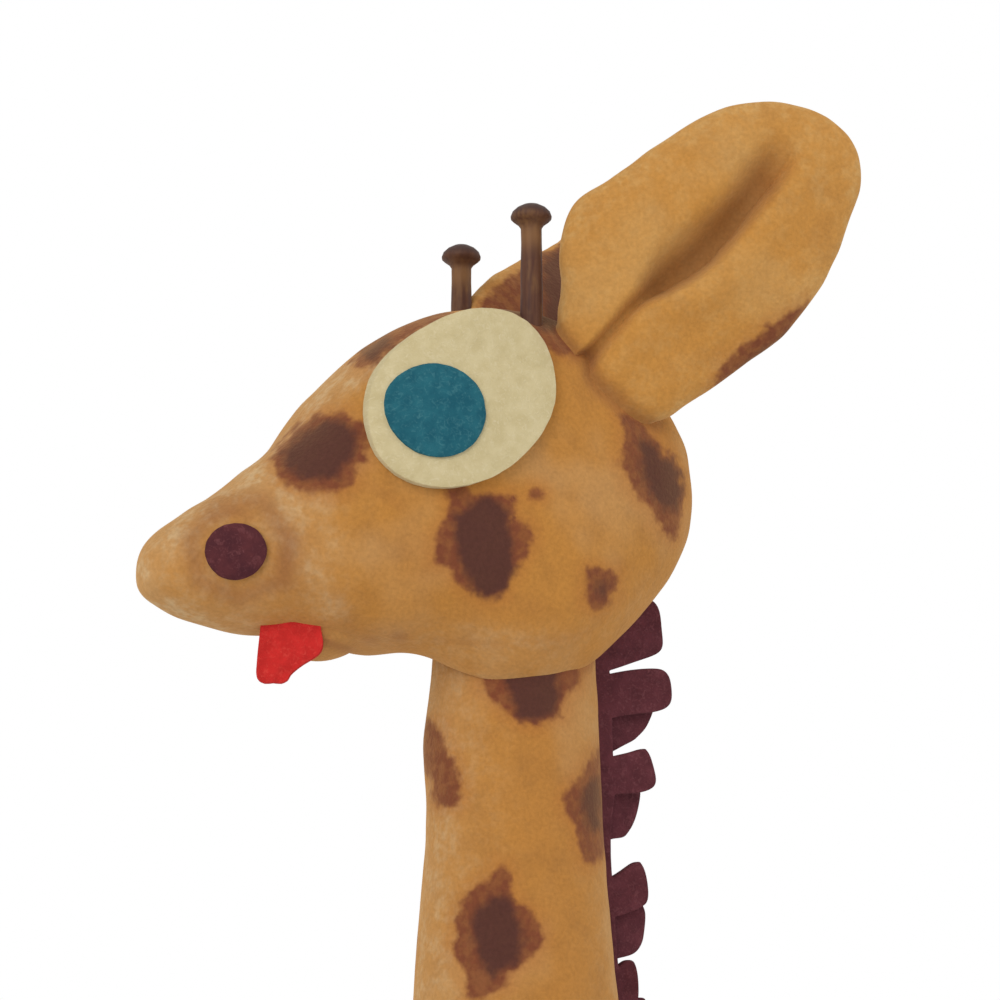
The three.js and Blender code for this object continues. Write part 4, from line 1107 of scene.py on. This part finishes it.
# %% Eyes and nostrils
# felt, slot, cut (width, height, tilt, grid steps, thickness, waver), seed, place, lift, stiffness
FACE_FELT = {
    "eye_white": (cream_felt, "cream_felt", (22.9, 16.9, 42, 56, FELT_THICK, 0.01), 1.0,
                  (HEAD_LENGTH * -0.1897, NECK_TOP + HEAD_HEIGHT * 0.5772 + 0.1), 0.0, 0.9),
    "iris": (teal_felt, "teal_felt", (10.3, 10.2, 10, 36, 1.0, 0.012), 4.0,
             (HEAD_LENGTH * -0.2455, NECK_TOP + HEAD_HEIGHT * 0.541), 0.9, 0.0),
    "nostril": (plum_felt, "plum_felt", (5.85, 5.9, 30, 26, 1.0, 0.02), 8.0,
                (HEAD_LENGTH * -0.548, NECK_TOP + HEAD_HEIGHT * 0.1955), -0.3, 0.0),
}
for side_name, side in SIDES.items():
    for title, (felt, slot, cut, seed, (centre_x, centre_z), lift, stiff) in FACE_FELT.items():
        felt_mesh = felt_round(title, *cut, seed + side)
        lay_on_head(felt_mesh, centre_x, centre_z, side, lift, stiff)
        finish_piece(f"{side_name}_{title}_felt", felt_mesh, felt, [f"{side_name}_{title}"])

# %% [markdown]
# The ears are padded leaves with one deep crease. The crease is steep on its lower side, where the
# fat rim rolls over it, and slopes gently on the other. Its tables were measured along the blade.
# The far ear shows another front edge over the brow, so it has a table for that edge.

# %% Tables of an ear
# share of the length, front edge, back edge, thickness, depth of the hollow face
EAR_SECTIONS = [
    [0.0, -0.02, -0.02, 0.0, 0.0], [0.004, -0.22, 0.18, 0.22, 0.1], [0.026, -0.29, 0.23, 0.5, 0.3],
    [0.074, -0.345, 0.262, 0.72, 0.55], [0.125, -0.405, 0.28, 0.8, 0.72], [0.2, -0.52, 0.31, 0.88, 0.88],
    [0.33, -0.622, 0.348, 0.97, 1.0], [0.46, -0.58, 0.386, 1.0, 1.0], [0.6, -0.54, 0.376, 0.95, 0.94],
    [0.72, -0.488, 0.334, 0.86, 0.74], [0.83, -0.416, 0.264, 0.74, 0.4], [0.915, -0.318, 0.21, 0.6, 0.12],
    [0.97, -0.192, 0.125, 0.42, 0.0], [0.995, -0.1, 0.04, 0.24, 0.0], [1.0, -0.03, -0.03, 0.0, 0.0],
]
FAR_EAR_SPOT_AND_SHADE = {"root": (
    [(470, 322), (490, 294), (515, 277), (530, 264), (570, 242), (575, 360), (470, 350)],
    [(546, 262), (566, 250), (566, 330), (549, 330)])}
EAR_WIDTH, EAR_THICKNESS, EAR_LENGTH, EAR_ROOT = 26.5, 7.4, 36.0, 2.9
# height up the blade, place of the crease's steep side, its depth, width of its gentle and its steep side
CREASE_LINE = [
    (-3, -4.2, 1.6, 0.8, 0.8), (3, -4.15, 1.5, 0.9, 0.7), (5.5, -4.1, 1.7, 1.1, 0.5),
    (7.2, -3.8, 2.4, 1.3, 0.4), (9.6, -2.8, 4.0, 2.5, 0.35), (12.6, -1.7, 4.6, 3.8, 0.35),
    (15.5, -1.15, 4.6, 4.0, 0.4), (19.2, -1.4, 4.3, 3.3, 0.45), (22, -1.6, 4.0, 3.0, 0.5),
    (25.6, -1.75, 3.6, 3.4, 0.55), (28.4, -2.2, 2.4, 3.2, 0.8), (31.0, -3.2, 0.5, 2.8, 1.6),
    (34, -3.6, 0.0, 2.6, 2.2), (37, -3.6, 0.0, 2.6, 2.2),
]
EAR_LEAN = {"left": 0.0, "right": 9.0}
# height up the blade and place of the front edge, as the far ear shows them over the brow
FAR_FRONT = [
    (-2.9, -0.5), (-2, -7), (-1, -10), (0, -12), (1.2, -13.6), (2.5, -14.7), (4, -15.2), (6, -15.3),
    (8, -15.1), (11.7, -14.6), (14.2, -14.2), (17, -13.4), (20, -12.6), (22.5, -12.2), (27, -12.1),
]
FAR_FRONT_TOP = 27
CREASE_COLUMN = 0.56
EAR_PLACE = (8.199, 10.6, NECK_TOP + 30.6)
print("an ear is", EAR_LENGTH, "mm long,", EAR_WIDTH, "mm wide and", EAR_THICKNESS, "mm thick")

# %% [markdown]
# An ear is formed lying flat, in its own three directions, and these then set it on the head. The
# far one leans a little further back. The columns of the mesh are drawn together at the crease, so
# that its steep side is crisp.

# %% Directions of an ear and columns at its crease
def ear_axes(side_name, side):
    """The ear's own directions on the head: along its root, along its blade, and out of its hollow face."""
    edge = Vector((0.754, side * 0.131, -0.644)).normalized()
    blade = Vector((0.553, side * 0.401, 0.73)).normalized()
    blade = (blade - edge * blade.dot(edge)).normalized()
    out_of_face = edge.cross(blade) * -side
    lean = Matrix.Rotation(math.radians(EAR_LEAN[side_name]) * side, 3, out_of_face)
    return np.array((lean @ edge, lean @ blade, out_of_face))


def gathered_round(angle, crease_cosine):
    """Draws the vertices of the hollow face together at the crease, so that its edge is crisp."""
    share = np.clip(angle / math.pi, 0, 1)
    crease_share = np.arccos(np.clip(crease_cosine, -0.6, 0.6)) / math.pi
    before = crease_share * (1 - (np.maximum(CREASE_COLUMN - share, 0) / CREASE_COLUMN) ** 1.7)
    past = np.maximum(share - CREASE_COLUMN, 0) / (1 - CREASE_COLUMN)
    after = crease_share + (1 - crease_share) * past ** 1.7
    gathered = math.pi * np.where(share < CREASE_COLUMN, before, after)
    return np.where(angle > 0, gathered, angle)

# %% [markdown]
# The form grows in steps: the outline, the fatness of the padding, the crease pressed into the hollow face
# with a fat lip beside it, and gathers where the root is sewn on. The same numbers say how much painted shade
# the crease gets.

# %% Form of an ear
def ear_form(side, share, angle):
    """The vertices of an ear in its own directions, with their angle round it, their height up the
    blade and how deep in the crease they lie."""
    along, front, back, thickness, hollow = curve_through(EAR_SECTIONS, share).T
    front, back = front * EAR_WIDTH, back * EAR_WIDTH
    up_blade = along * (EAR_LENGTH + EAR_ROOT) - EAR_ROOT
    crease_line = np.array(CREASE_LINE).T
    crease, deep, gentle, steep = (np.interp(up_blade, crease_line[0], row) for row in crease_line[1:])
    if side > 0:
        front = np.where(up_blade < FAR_FRONT_TOP, np.interp(up_blade, *np.array(FAR_FRONT).T), front)
    angle = gathered_round(angle, (crease - (front + back) / 2) / np.maximum((back - front) / 2, 1e-6))
    across = (front + back) / 2 + (back - front) / 2 * np.cos(angle)
    if side > 0:
        drop = 0.45 * np.clip(-across - 4, 0, 12) * np.clip(1 - up_blade / 8, 0, 1)
    else:
        drop = 2.6 * np.clip(1 - (up_blade + EAR_ROOT) / 6, 0, 1) * np.clip((7.5 - across) / 5, 0, 1)
    fatness = thickness * EAR_THICKNESS / 2 * np.sign(np.sin(angle)) * np.abs(np.sin(angle)) ** 0.8
    off = across - crease
    groove = np.where(off < 0, np.exp(-(np.abs(off / gentle) ** 3)), np.exp(-((off / steep) ** 2)))
    facing = np.clip(np.sin(angle) * 3, 0, 1)
    lip = 0.9 * np.maximum(hollow, 0) * np.exp(-(((off - 2.6) / 2.2) ** 2)) * facing
    gathers = 1.3 if side < 0 else 0.4
    gathered = gathers * np.clip(1 - up_blade / 9, 0, 1) ** 1.5 * np.clip(np.sin(angle), 0, 1) ** 0.6
    own = np.stack((across, up_blade - drop, fatness - deep * groove * facing + lip + gathered), axis=1)
    # How much painted shade the crease gets.
    shaded = np.exp(-((np.minimum(off, 0) / (gentle * 0.9)) ** 4))
    shaded = shaded * np.exp(-((np.maximum(off, 0) / steep) ** 2))
    shaded *= facing * np.clip(deep / 3.4, 0, 1) * np.clip((31.5 - up_blade) / 5, 0, 1)
    return own, angle, up_blade, shaded


# %% [markdown]
# An ear has one spot on its lower rim and three on its back. On the far one a large spot lies at the root,
# over the brow; it is partly a real spot and partly painted shade.

# %% Spots of an ear
RIM_SPOT = [(9.8, 19.5), (8.5, 15.5), (7.8, 12), (7.4, 7.5), (8.8, 5), (13, 9), (13, 18)]
BACK_SPOTS = [("cheek", 1.0, (-5, 17)), ("small", 1.3, (4, 26)), ("small", 1.0, (3, 11))]


def ear_spots(side, own, angle, places, normals):
    """The spot depths of an ear: on its rim, on its back, and on the far one at its root."""
    on_rim = depth_inside(own[:, :2], RIM_SPOT)
    depths = np.maximum(bare(places), (on_rim - 0.1, on_rim - 2.2))
    # The far ear's root spot is partly a real spot and partly painted shade.
    if side > 0:
        depths = np.maximum(depths, photographed_spots(FAR_EAR_SPOT_AND_SHADE, places, normals))
    for title, size, centre in BACK_SPOTS:
        on_back = depth_inside(own[:, :2], STENCILS[title] * size * 0.8 + centre)
        on_back = np.where(np.sin(angle) < 0, on_back, NO_SPOT)
        depths = np.maximum(depths, (on_back, on_back - CORE_INSET))
    return depths


# %% [markdown]
# At the root the cloth is gathered and sewn into the head. Its rims and its tip are worn, and the seam is
# painted with a dark line of painted shade.

# %% Ears
BEND = (-0.5, 5.0)  # where the bend starts and ends, in mm up the blade
ear_trees = []
for side_name, side in SIDES.items():
    ear_mesh, share, angle = ringed_sphere(f"{side_name}_ear", 230, 196)
    own, angle, up_blade, shaded = ear_form(side, share, angle)
    axes = ear_axes(side_name, side)
    root = np.array(EAR_PLACE) * (1, side, 1)
    places = root + own @ axes
    normals = moved(ear_mesh, places)
    rise = 0.3 * lumps(places, 8, 20 + side) + 0.1 * lumps(places, 3, 23 + side)
    rise *= np.clip(up_blade / 6, 0, 1)
    ear_trees.append(tree_of(ear_mesh, places))
    sewn = near_seam(places, head_tree, 1.0)
    places += normals * (rise - 0.35 * sewn)[:, None]
    normals = moved(ear_mesh, places)
    depths = ear_spots(side, own, angle, places, normals)
    rims, tip = np.clip(np.abs(np.cos(angle)) * 4 - 3, 0, 1), np.clip((up_blade - 26) / 8, 0, 1)
    # Rims and tip worn paler, the whole ear a little paler, and painted shade in the crease and the root
    # seam.
    fields = skin_fields(depths, 0.22 + 0.35 * rims + 0.2 * tip, 0.5 * shaded + 0.5 * sewn)
    ear = finish_piece(f"{side_name}_ear_skin", ear_mesh, ear_velveteen,
                       [f"{side_name}_ear"], body=None, fields=fields)
    start, end = (Vector(root + (height * axes[1])) for height in BEND)
    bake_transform(ear)

# %% [markdown]
# Where an ear is sewn on, the stitches pull both skins in, and a dark line of painted shade runs round its
# root. The head gets its side of that line now that the ears are there, and is then finished.

# %% Sew the ears to the head
places = places_of(head_mesh)
sewn = np.maximum(*(near_seam(places, tree, 1.0) for tree in ear_trees))
move_to(head_mesh, places - outward(head_mesh) * (0.3 * sewn)[:, None])
# The seam round each ear's root is painted darker, as painted shade.
finish_piece("head_skin", head_mesh, tan_velveteen, ["head"],
             fields=skin_fields(head_depths, head_wear_and_painted_light, head_dirt_and_painted_shade + 0.45 * sewn))

# %% [markdown]
# The horns are turned pegs with a domed head, glued into the brow. A peg is a body of rotation, so
# its outline is drawn once and spun round its axis.

# %% Horns
PEG_OUTLINE = [
    (0.0, -10.0), (0.8, -10.0), (1.15, -9.3), (1.24, -2.0), (1.2, 0.5), (1.2, 3.5), (1.14, 6.2),
    (1.16, 7.9), (1.42, 8.3), (1.98, 8.72), (2.24, 8.98), (2.27, 9.25), (2.08, 9.75), (1.6, 10.22),
    (0.9, 10.58), (0.0, 10.72),
]
HORN_X, HORN_OUT_SHARE, HORN_Z = HEAD_LENGTH * -0.0345, 0.6434, NECK_TOP + HEAD_HEIGHT * 0.8705
FAR_HORN_OUT = 0.3
for side_name, side in SIDES.items():
    bm = bmesh.new()
    outline = [bm.verts.new((radius, 0, height)) for radius, height in PEG_OUTLINE]
    edges = [bm.edges.new(pair) for pair in zip(outline, outline[1:])]
    bmesh.ops.spin(bm, geom=outline + edges, cent=(0, 0, 0), axis=(0, 0, 1), angle=2 * math.pi, steps=40,
                   use_merge=True, use_duplicate=False)
    bmesh.ops.remove_doubles(bm, verts=bm.verts, dist=1e-4)
    bmesh.ops.recalc_face_normals(bm, faces=bm.faces)
    bmesh.ops.subdivide_edges(bm, edges=[e for e in bm.edges if abs(e.verts[0].co.z - e.verts[1].co.z) > 0.6],
                              cuts=5, use_grid_fill=True)
    peg = finished_mesh(bm, "peg")
    places = places_of(peg)
    heads = np.clip((places[:, 2] - 9.1) / 0.7, 0, 1)
    handled = 0.45 * np.exp(-(((places[:, 2] - 6.9) / 1.5) ** 2)) * (1 - heads)
    uneven = 0.06 * lumps(places * (1, 1, 0.4), 1.6, 31 + side)
    reach = np.maximum(np.linalg.norm(places[:, :2], axis=1, keepdims=True), 0.2)
    places[:, :2] += places[:, :2] / reach * uneven[:, None]
    out = side * HEAD_WIDTH / 2 * HORN_OUT_SHARE + (FAR_HORN_OUT if side > 0 else 0)
    places += (HORN_X, out, HORN_Z)
    move_to(peg, places)
    finish_piece(f"{side_name}_horn_peg", peg, stained_wood, [f"{side_name}_horn"],
                 fields={"peg_head": 0.75 * heads, "peg_handled": handled})

# %% [markdown]
# The tongue is a felt tab pushed into the mouth. It narrows and droops to the left, and a fold runs
# down its middle. It starts as a grid with the felt's thickness and is pulled to its outline.

# %% Tongue
bm = bmesh.new()
bmesh.ops.create_grid(bm, x_segments=22, y_segments=26, size=0.5)
bmesh.ops.translate(bm, vec=(0, 0, 1.0), verts=extruded(bm))
bmesh.ops.recalc_face_normals(bm, faces=bm.faces)
rims = [e for e in bm.edges if e.calc_face_angle() > 1.2]
bmesh.ops.bevel(bm, geom=rims, offset=0.012, segments=2, profile=0.5, affect="EDGES", material=-1)
tongue_mesh = finished_mesh(bm, "tongue")
flat = places_of(tongue_mesh)
down = 0.5 - flat[:, 1]
TONGUE_EDGES = [
    [3.0, -3.0, 3.0], [1.7, -3.1, 3.1], [0.4, -3.2, 3.15], [-1.2, -3.35, 3.35], [-2.3, -3.45, 2.9],
    [-3.4, -3.52, 1.2], [-4.3, -3.55, 0.1], [-5.0, -3.35, -0.35], [-5.3, -2.75, -0.95],
]
height, left, right_edge = curve_through(TONGUE_EDGES, down).T
across = left + (right_edge - left) * (flat[:, 0] + 0.5)
fold = 0.5 * np.exp(-(((flat[:, 0] - 0.02) / 0.16) ** 2)) * np.clip(down * 3, 0, 1)
thick = (flat[:, 2] - 0.5) * FELT_THICK
curl = -0.5 * np.clip(down - 0.6, 0, 1) ** 2
own = np.stack((across, -(thick + fold + curl), height), axis=1)
turn = np.array(Matrix.Rotation(math.radians(-25), 3, "Z"))
mouth = (HEAD_LENGTH * -0.431, HEAD_WIDTH / 2 * -0.2517, NECK_TOP + HEAD_HEIGHT * 0.0205)
move_to(tongue_mesh, own @ turn.T + mouth)
finish_piece("tongue_felt", tongue_mesh, red_felt, ["tongue"])

# %% [markdown]
# The mane is two felt strips side by side in the back seam of the neck, each snipped into uneven
# tabs by hand, with the tabs of the far strip between those of the near one. Each tab was measured
# down the neck in shares of the strip's length, and out of the seam in shares of its reach.

# %% Tables of the mane
# where a tab starts and ends down the strip, its reach at both, and how far its tip rises at both
NEAR_TABS = [
    (-0.068, 0.012, 0.82, 0.98, 0.14, 0.28), (0.016, 0.076, 0.97, 0.97, 0.1, 0.18),
    (0.127, 0.178, 0.68, 0.72, 0.1, 0.1), (0.288, 0.34, 0.47, 0.54, 0.16, 0.14),
    (0.405, 0.464, 0.27, 0.3, 0.06, 0.1), (0.533, 0.598, 0.56, 0.52, 0.12, 0.16),
    (0.671, 0.731, 0.52, 0.58, 0.1, 0.14), (0.798, 0.858, 0.5, 0.46, 0.12, 0.16),
]
FAR_TABS = [
    (0.043, 0.123, 0.95, 0.66, 0.04, 0.24), (0.162, 0.24, 0.68, 0.44, 0.04, 0.14),
    (0.331, 0.396, 0.57, 0.55, 0.06, 0.16), (0.457, 0.527, 0.5, 0.46, 0.06, 0.12),
    (0.597, 0.66, 0.48, 0.54, 0.1, 0.14), (0.719, 0.782, 0.56, 0.5, 0.08, 0.12),
    (0.846, 0.905, 0.46, 0.5, 0.1, 0.12),
]
MANE_REACH, MANE_ROOT = 9.2, 4.0
MANE_TOP, MANE_BOTTOM = NECK_TOP + 7.4, 124.0 - 8.6
MANE_LENGTH = NECK_TOP - MANE_BOTTOM
GAP_ROWS, TAB_ROWS, BAND_COLUMNS, TAB_COLUMNS = 2, 9, 4, 12
print("the mane is", round(MANE_LENGTH, 1), "mm long and has", len(NEAR_TABS) + len(FAR_TABS), "tabs")

# %% [markdown]
# A strip is one grid: its rows between two tabs are deleted, and the rest is pulled to the tabs'
# outlines. A band next to the seam stays uncut.

# %% Rows and tabs of a strip
def band_at(height):
    """How far the uncut band of a strip stands out of the seam. The snips are shallower near the head."""
    return 0.8 + 0.9 * min(max((height - NECK_TOP + 19) / 4, 0.0), 1.0)


def mane_rows(tabs):
    """The rows of a strip from its top down: its height, its tab if it has one, its share of the tab."""
    rows = [(MANE_TOP, None, 0.0)]
    for index, (start, end, *_) in enumerate(tabs):
        top, bottom = NECK_TOP - start * MANE_LENGTH, NECK_TOP - end * MANE_LENGTH
        last = rows[-1][0]
        rows += [(last + (top - last) * step / GAP_ROWS, None, 0.0) for step in range(1, GAP_ROWS)]
        rows += [(top + (bottom - top) * step / TAB_ROWS, index, step / TAB_ROWS)
                 for step in range(TAB_ROWS + 1)]
    return rows + [(MANE_BOTTOM, None, 0.0)]


def tab_point(tab, index, part, out, height):
    """Where a point of a tab lies, from its share down the tab and its share out to the tip."""
    start, end, top_reach, bottom_reach, top_rise, bottom_rise = tab
    from_middle = part * 2 - 1
    reach = MANE_REACH * (top_reach + (bottom_reach - top_reach) * part) * (1 - 0.07 * abs(from_middle) ** 5)
    rise = MANE_REACH * (top_rise + (bottom_rise - top_rise) * part)
    half = (end - start) * MANE_LENGTH / 2
    pinch = -from_middle * half * (0.16 * out - 0.14 * out ** 9)
    lift = rise * out + pinch + 0.25 * math.sin(out * 3 + index * 1.7) * out
    return band_at(height) + (reach - band_at(height)) * out, out, height + lift


# %% [markdown]
# The flat strip gets its second side, and is then bent to the line of the neck's back. The felt has
# some spring, so each tab leans and curls a little. Each vertex keeps its share out to the tip in
# its y until then, and the second side is told apart by a step of 10 in it.

# %% A strip of the mane
SECOND_SIDE = 10


def mane_strip(side, tabs):
    """One felt strip, from a grid of rows down the neck and columns away from it."""
    rows = mane_rows(tabs)
    columns, last_row = BAND_COLUMNS + TAB_COLUMNS, len(rows) - 1
    bm = bmesh.new()
    bmesh.ops.create_grid(bm, x_segments=columns, y_segments=last_row, size=0.5)
    for vert in bm.verts:
        vert.co = (round((vert.co.x + 0.5) * columns), round((0.5 - vert.co.y) * last_row), 0)

    def between_tabs(face):
        middle = face.calc_center_median()
        above, under = rows[int(middle.y)], rows[int(middle.y) + 1]
        return middle.x > BAND_COLUMNS and (above[1] is None or above[1] != under[1])

    bmesh.ops.delete(bm, geom=[f for f in bm.faces if between_tabs(f)], context="FACES")
    for vert in bm.verts:
        column, (height, index, part) = vert.co.x, rows[int(vert.co.y)]
        if column <= BAND_COLUMNS or index is None:
            vert.co = (-MANE_ROOT + (band_at(height) + MANE_ROOT) * column / BAND_COLUMNS, 0, height)
        else:
            vert.co = tab_point(tabs[index], index, part, (column - BAND_COLUMNS) / TAB_COLUMNS, height)
    bmesh.ops.translate(bm, vec=(0, SECOND_SIDE, 0), verts=extruded(bm))
    bm.normal_update()
    bmesh.ops.recalc_face_normals(bm, faces=bm.faces)
    mesh = finished_mesh(bm, "mane_strip")
    flat = places_of(mesh)
    upper = flat[:, 1] >= SECOND_SIDE - 0.5
    out, height = flat[:, 1] - SECOND_SIDE * upper, flat[:, 2]
    back = neck_back(height - 0.15 * MANE_REACH * out)
    wave = out**2 * (0.55 * np.sin(height * 0.61 + side) + 0.3 * side)
    move_to(mesh, np.stack((back + flat[:, 0], side * (0.15 + FELT_THICK * upper) + wave, height), axis=1))
    return mesh


def soft_cut_edge(piece, width_mm):
    """Rounds the scissor-cut edges of a felt piece."""
    edge = piece.modifiers.new("cut_edge", "BEVEL")
    edge.width, edge.segments = width_mm * MM, 2
    edge.limit_method, edge.angle_limit = "ANGLE", math.radians(50)


for side_name, side, tabs in (("left", -1, NEAR_TABS), ("right", 1, FAR_TABS)):
    strip = mane_strip(side, tabs)
    piece = finish_piece(f"mane_{side_name}_felt", strip, faded_felt,
                         [f"mane_{side_name}_strip"])
    soft_cut_edge(piece, 0.25)
    smooth = piece.modifiers.new("round_over", "SUBSURF")
    smooth.levels = smooth.render_levels = 1

# %% [markdown]
# The tail is a thin stuffed cord of the same cloth with a fringe of plum felt at its end. Its root
# is a round ball that turns in place when the tail swings, so that part of the skin has no lumps.

# %% Tail
TAIL_SECTIONS = [
    [0.0, 0.0, 0.0, 0.0, 2], [0.012, 0.28, -0.28, 0.56, 2], [0.06, 0.5, -0.5, 1.0, 2],
    [0.13, 0.8, -0.2, 1.0, 2], [0.22, 1.1, 0.1, 1.0, 2], [0.32, 1.26, 0.28, 0.98, 2],
    [0.55, 1.3, 0.38, 0.92, 2], [0.8, 1.28, 0.34, 0.94, 2], [0.96, 1.2, 0.44, 0.8, 2],
    [1.0, 0.82, 0.82, 0.0, 2],
]
TAIL_ROOT = np.array((76.4, 0.0, 108.0))
TAIL_LENGTH, TAIL_WIDTH = 46.0, 5.6
tail_mesh, share, angle = ringed_sphere("tail", 48, 110)
along, across, sideways = oval_section(TAIL_SECTIONS, (TAIL_LENGTH, TAIL_WIDTH, TAIL_WIDTH), share, angle)
places = TAIL_ROOT + np.stack((across, sideways, TAIL_WIDTH / 2 - along), axis=1)
normals = moved(tail_mesh, places)
sewn = near_seam(places, torso_tree, 1.0)
root_ball = np.clip((4.5 - np.linalg.norm(places - TAIL_ROOT, axis=1)) / 1.5, 0, 1)
rise = 0.16 * (1 - root_ball) * lumps(places, 4, 40) - 0.32 * np.maximum(sewn, root_ball)
places += normals * rise[:, None]
normals = moved(tail_mesh, places)
depths = add_stencils(bare(places), places, normals, [
    ("small", (82, -2, 92), 0, 1.2), ("small", (80, 2, 76), 0, 1.2)])
# The seam at the root is painted darker, as painted shade.
finish_piece("tail_skin", tail_mesh, tan_velveteen, ["tail"], body="tail_hanging",
             fields=skin_fields(depths, 0 * share, 0.5 * sewn))

# %% [markdown]
# The tuft is one piece of felt cut into strands, which spread and sway a little. It is a grid whose
# columns between two strands are deleted below the band that holds them together.

# %% Tail tuft
STRANDS, SLIT, TUFT_WIDTH = 5, 0.4, 10.0
CELLS, DOWN, BAND_ROWS = 4, 24, 9
STRAND_WIDTH = (TUFT_WIDTH - SLIT * (STRANDS - 1)) / STRANDS
TUFT_TOP, TUFT_BOTTOM = TAIL_WIDTH / 2 - TAIL_LENGTH + 4, TAIL_WIDTH / 2 - TAIL_LENGTH - 13
TUFT_BEHIND = 4.6  # the tail's end lies this far behind its root
columns = STRANDS * (CELLS + 1) - 1
bm = bmesh.new()
bmesh.ops.create_grid(bm, x_segments=columns, y_segments=DOWN, size=0.5)
for vert in bm.verts:
    vert.co = (round((vert.co.x + 0.5) * columns), round((0.5 - vert.co.y) * DOWN), 0)
middles = {face: face.calc_center_median() for face in bm.faces}
slits = [f for f, middle in middles.items() if int(middle.x) % (CELLS + 1) == CELLS and middle.y > BAND_ROWS]
bmesh.ops.delete(bm, geom=slits, context="FACES")
for vert in bm.verts:
    strand, cell = divmod(vert.co.x, CELLS + 1)
    down = vert.co.y / DOWN
    spread = min(1.0, 0.3 + 1.1 * down)
    x = -TUFT_WIDTH / 2 + strand * (STRAND_WIDTH + SLIT) + cell / CELLS * STRAND_WIDTH
    shorter = abs(strand - STRANDS // 2) * 0.8
    z = TUFT_TOP + (TUFT_BOTTOM + shorter - TUFT_TOP) * down
    sway = 1.5 * math.sin(strand * 2.3 + 0.4) * down * down
    vert.co = (x * spread * (0.92 + 0.08 * down) + TUFT_BEHIND, sway, z)
bmesh.ops.translate(bm, vec=(0, FELT_THICK, 0), verts=extruded(bm))
bmesh.ops.translate(bm, vec=Vector(TAIL_ROOT) - Vector((0, FELT_THICK / 2, 0)), verts=bm.verts)
bmesh.ops.recalc_face_normals(bm, faces=bm.faces)
tuft = finish_piece("tail_tuft_felt", finished_mesh(bm, "tuft"), plum_felt, ["tail_tuft"],
                    body="tail_hanging")
soft_cut_edge(tuft, 0.22)

# %% [markdown]
# Each foot stands on a felt sole, sewn round its edge with an overcast stitch: the thread leans as
# it goes from the sole up over the edge into the leg.

# %% Soles
SOLE_WIDTH, SOLE_THICK = 16, 1.5
STITCHES, STITCH_LONG, STITCH_LEAN = 26, 3.2, 0.45
STITCH_OUT, STITCH_HIGH = 8.45, 1.9
for end, (hip_x, rake) in HIPS.items():
    for side_name, side in SIDES.items():
        foot = f"{end}_{side_name}"
        sole = felt_round("sole", SOLE_WIDTH, SOLE_WIDTH, 0, 30, SOLE_THICK, 0.012, 50 + hip_x + side)
        middle = np.array((hip_x + rake, side * FOOT_OFF, 0))
        move_to(sole, places_of(sole) + middle)
        finish_piece(f"{foot}_sole_felt", sole, plum_felt, [f"{foot}_sole"])
        overcast = []
        for turn in np.linspace(0, 2 * math.pi, STITCHES, endpoint=False):
            outwards = np.array((math.cos(turn), math.sin(turn), 0))
            leaning = (0, 0, 1) + STITCH_LEAN * np.array((-math.sin(turn), math.cos(turn), 0))
            place = middle + outwards * STITCH_OUT + (0, 0, STITCH_HIGH)
            overcast.append((place, leaning, outwards, STITCH_LONG))
        stitch_line(f"{foot}_sole_stitches", overcast)

# %% Sizes and finish
print("pieces made:", len(pieces_made))
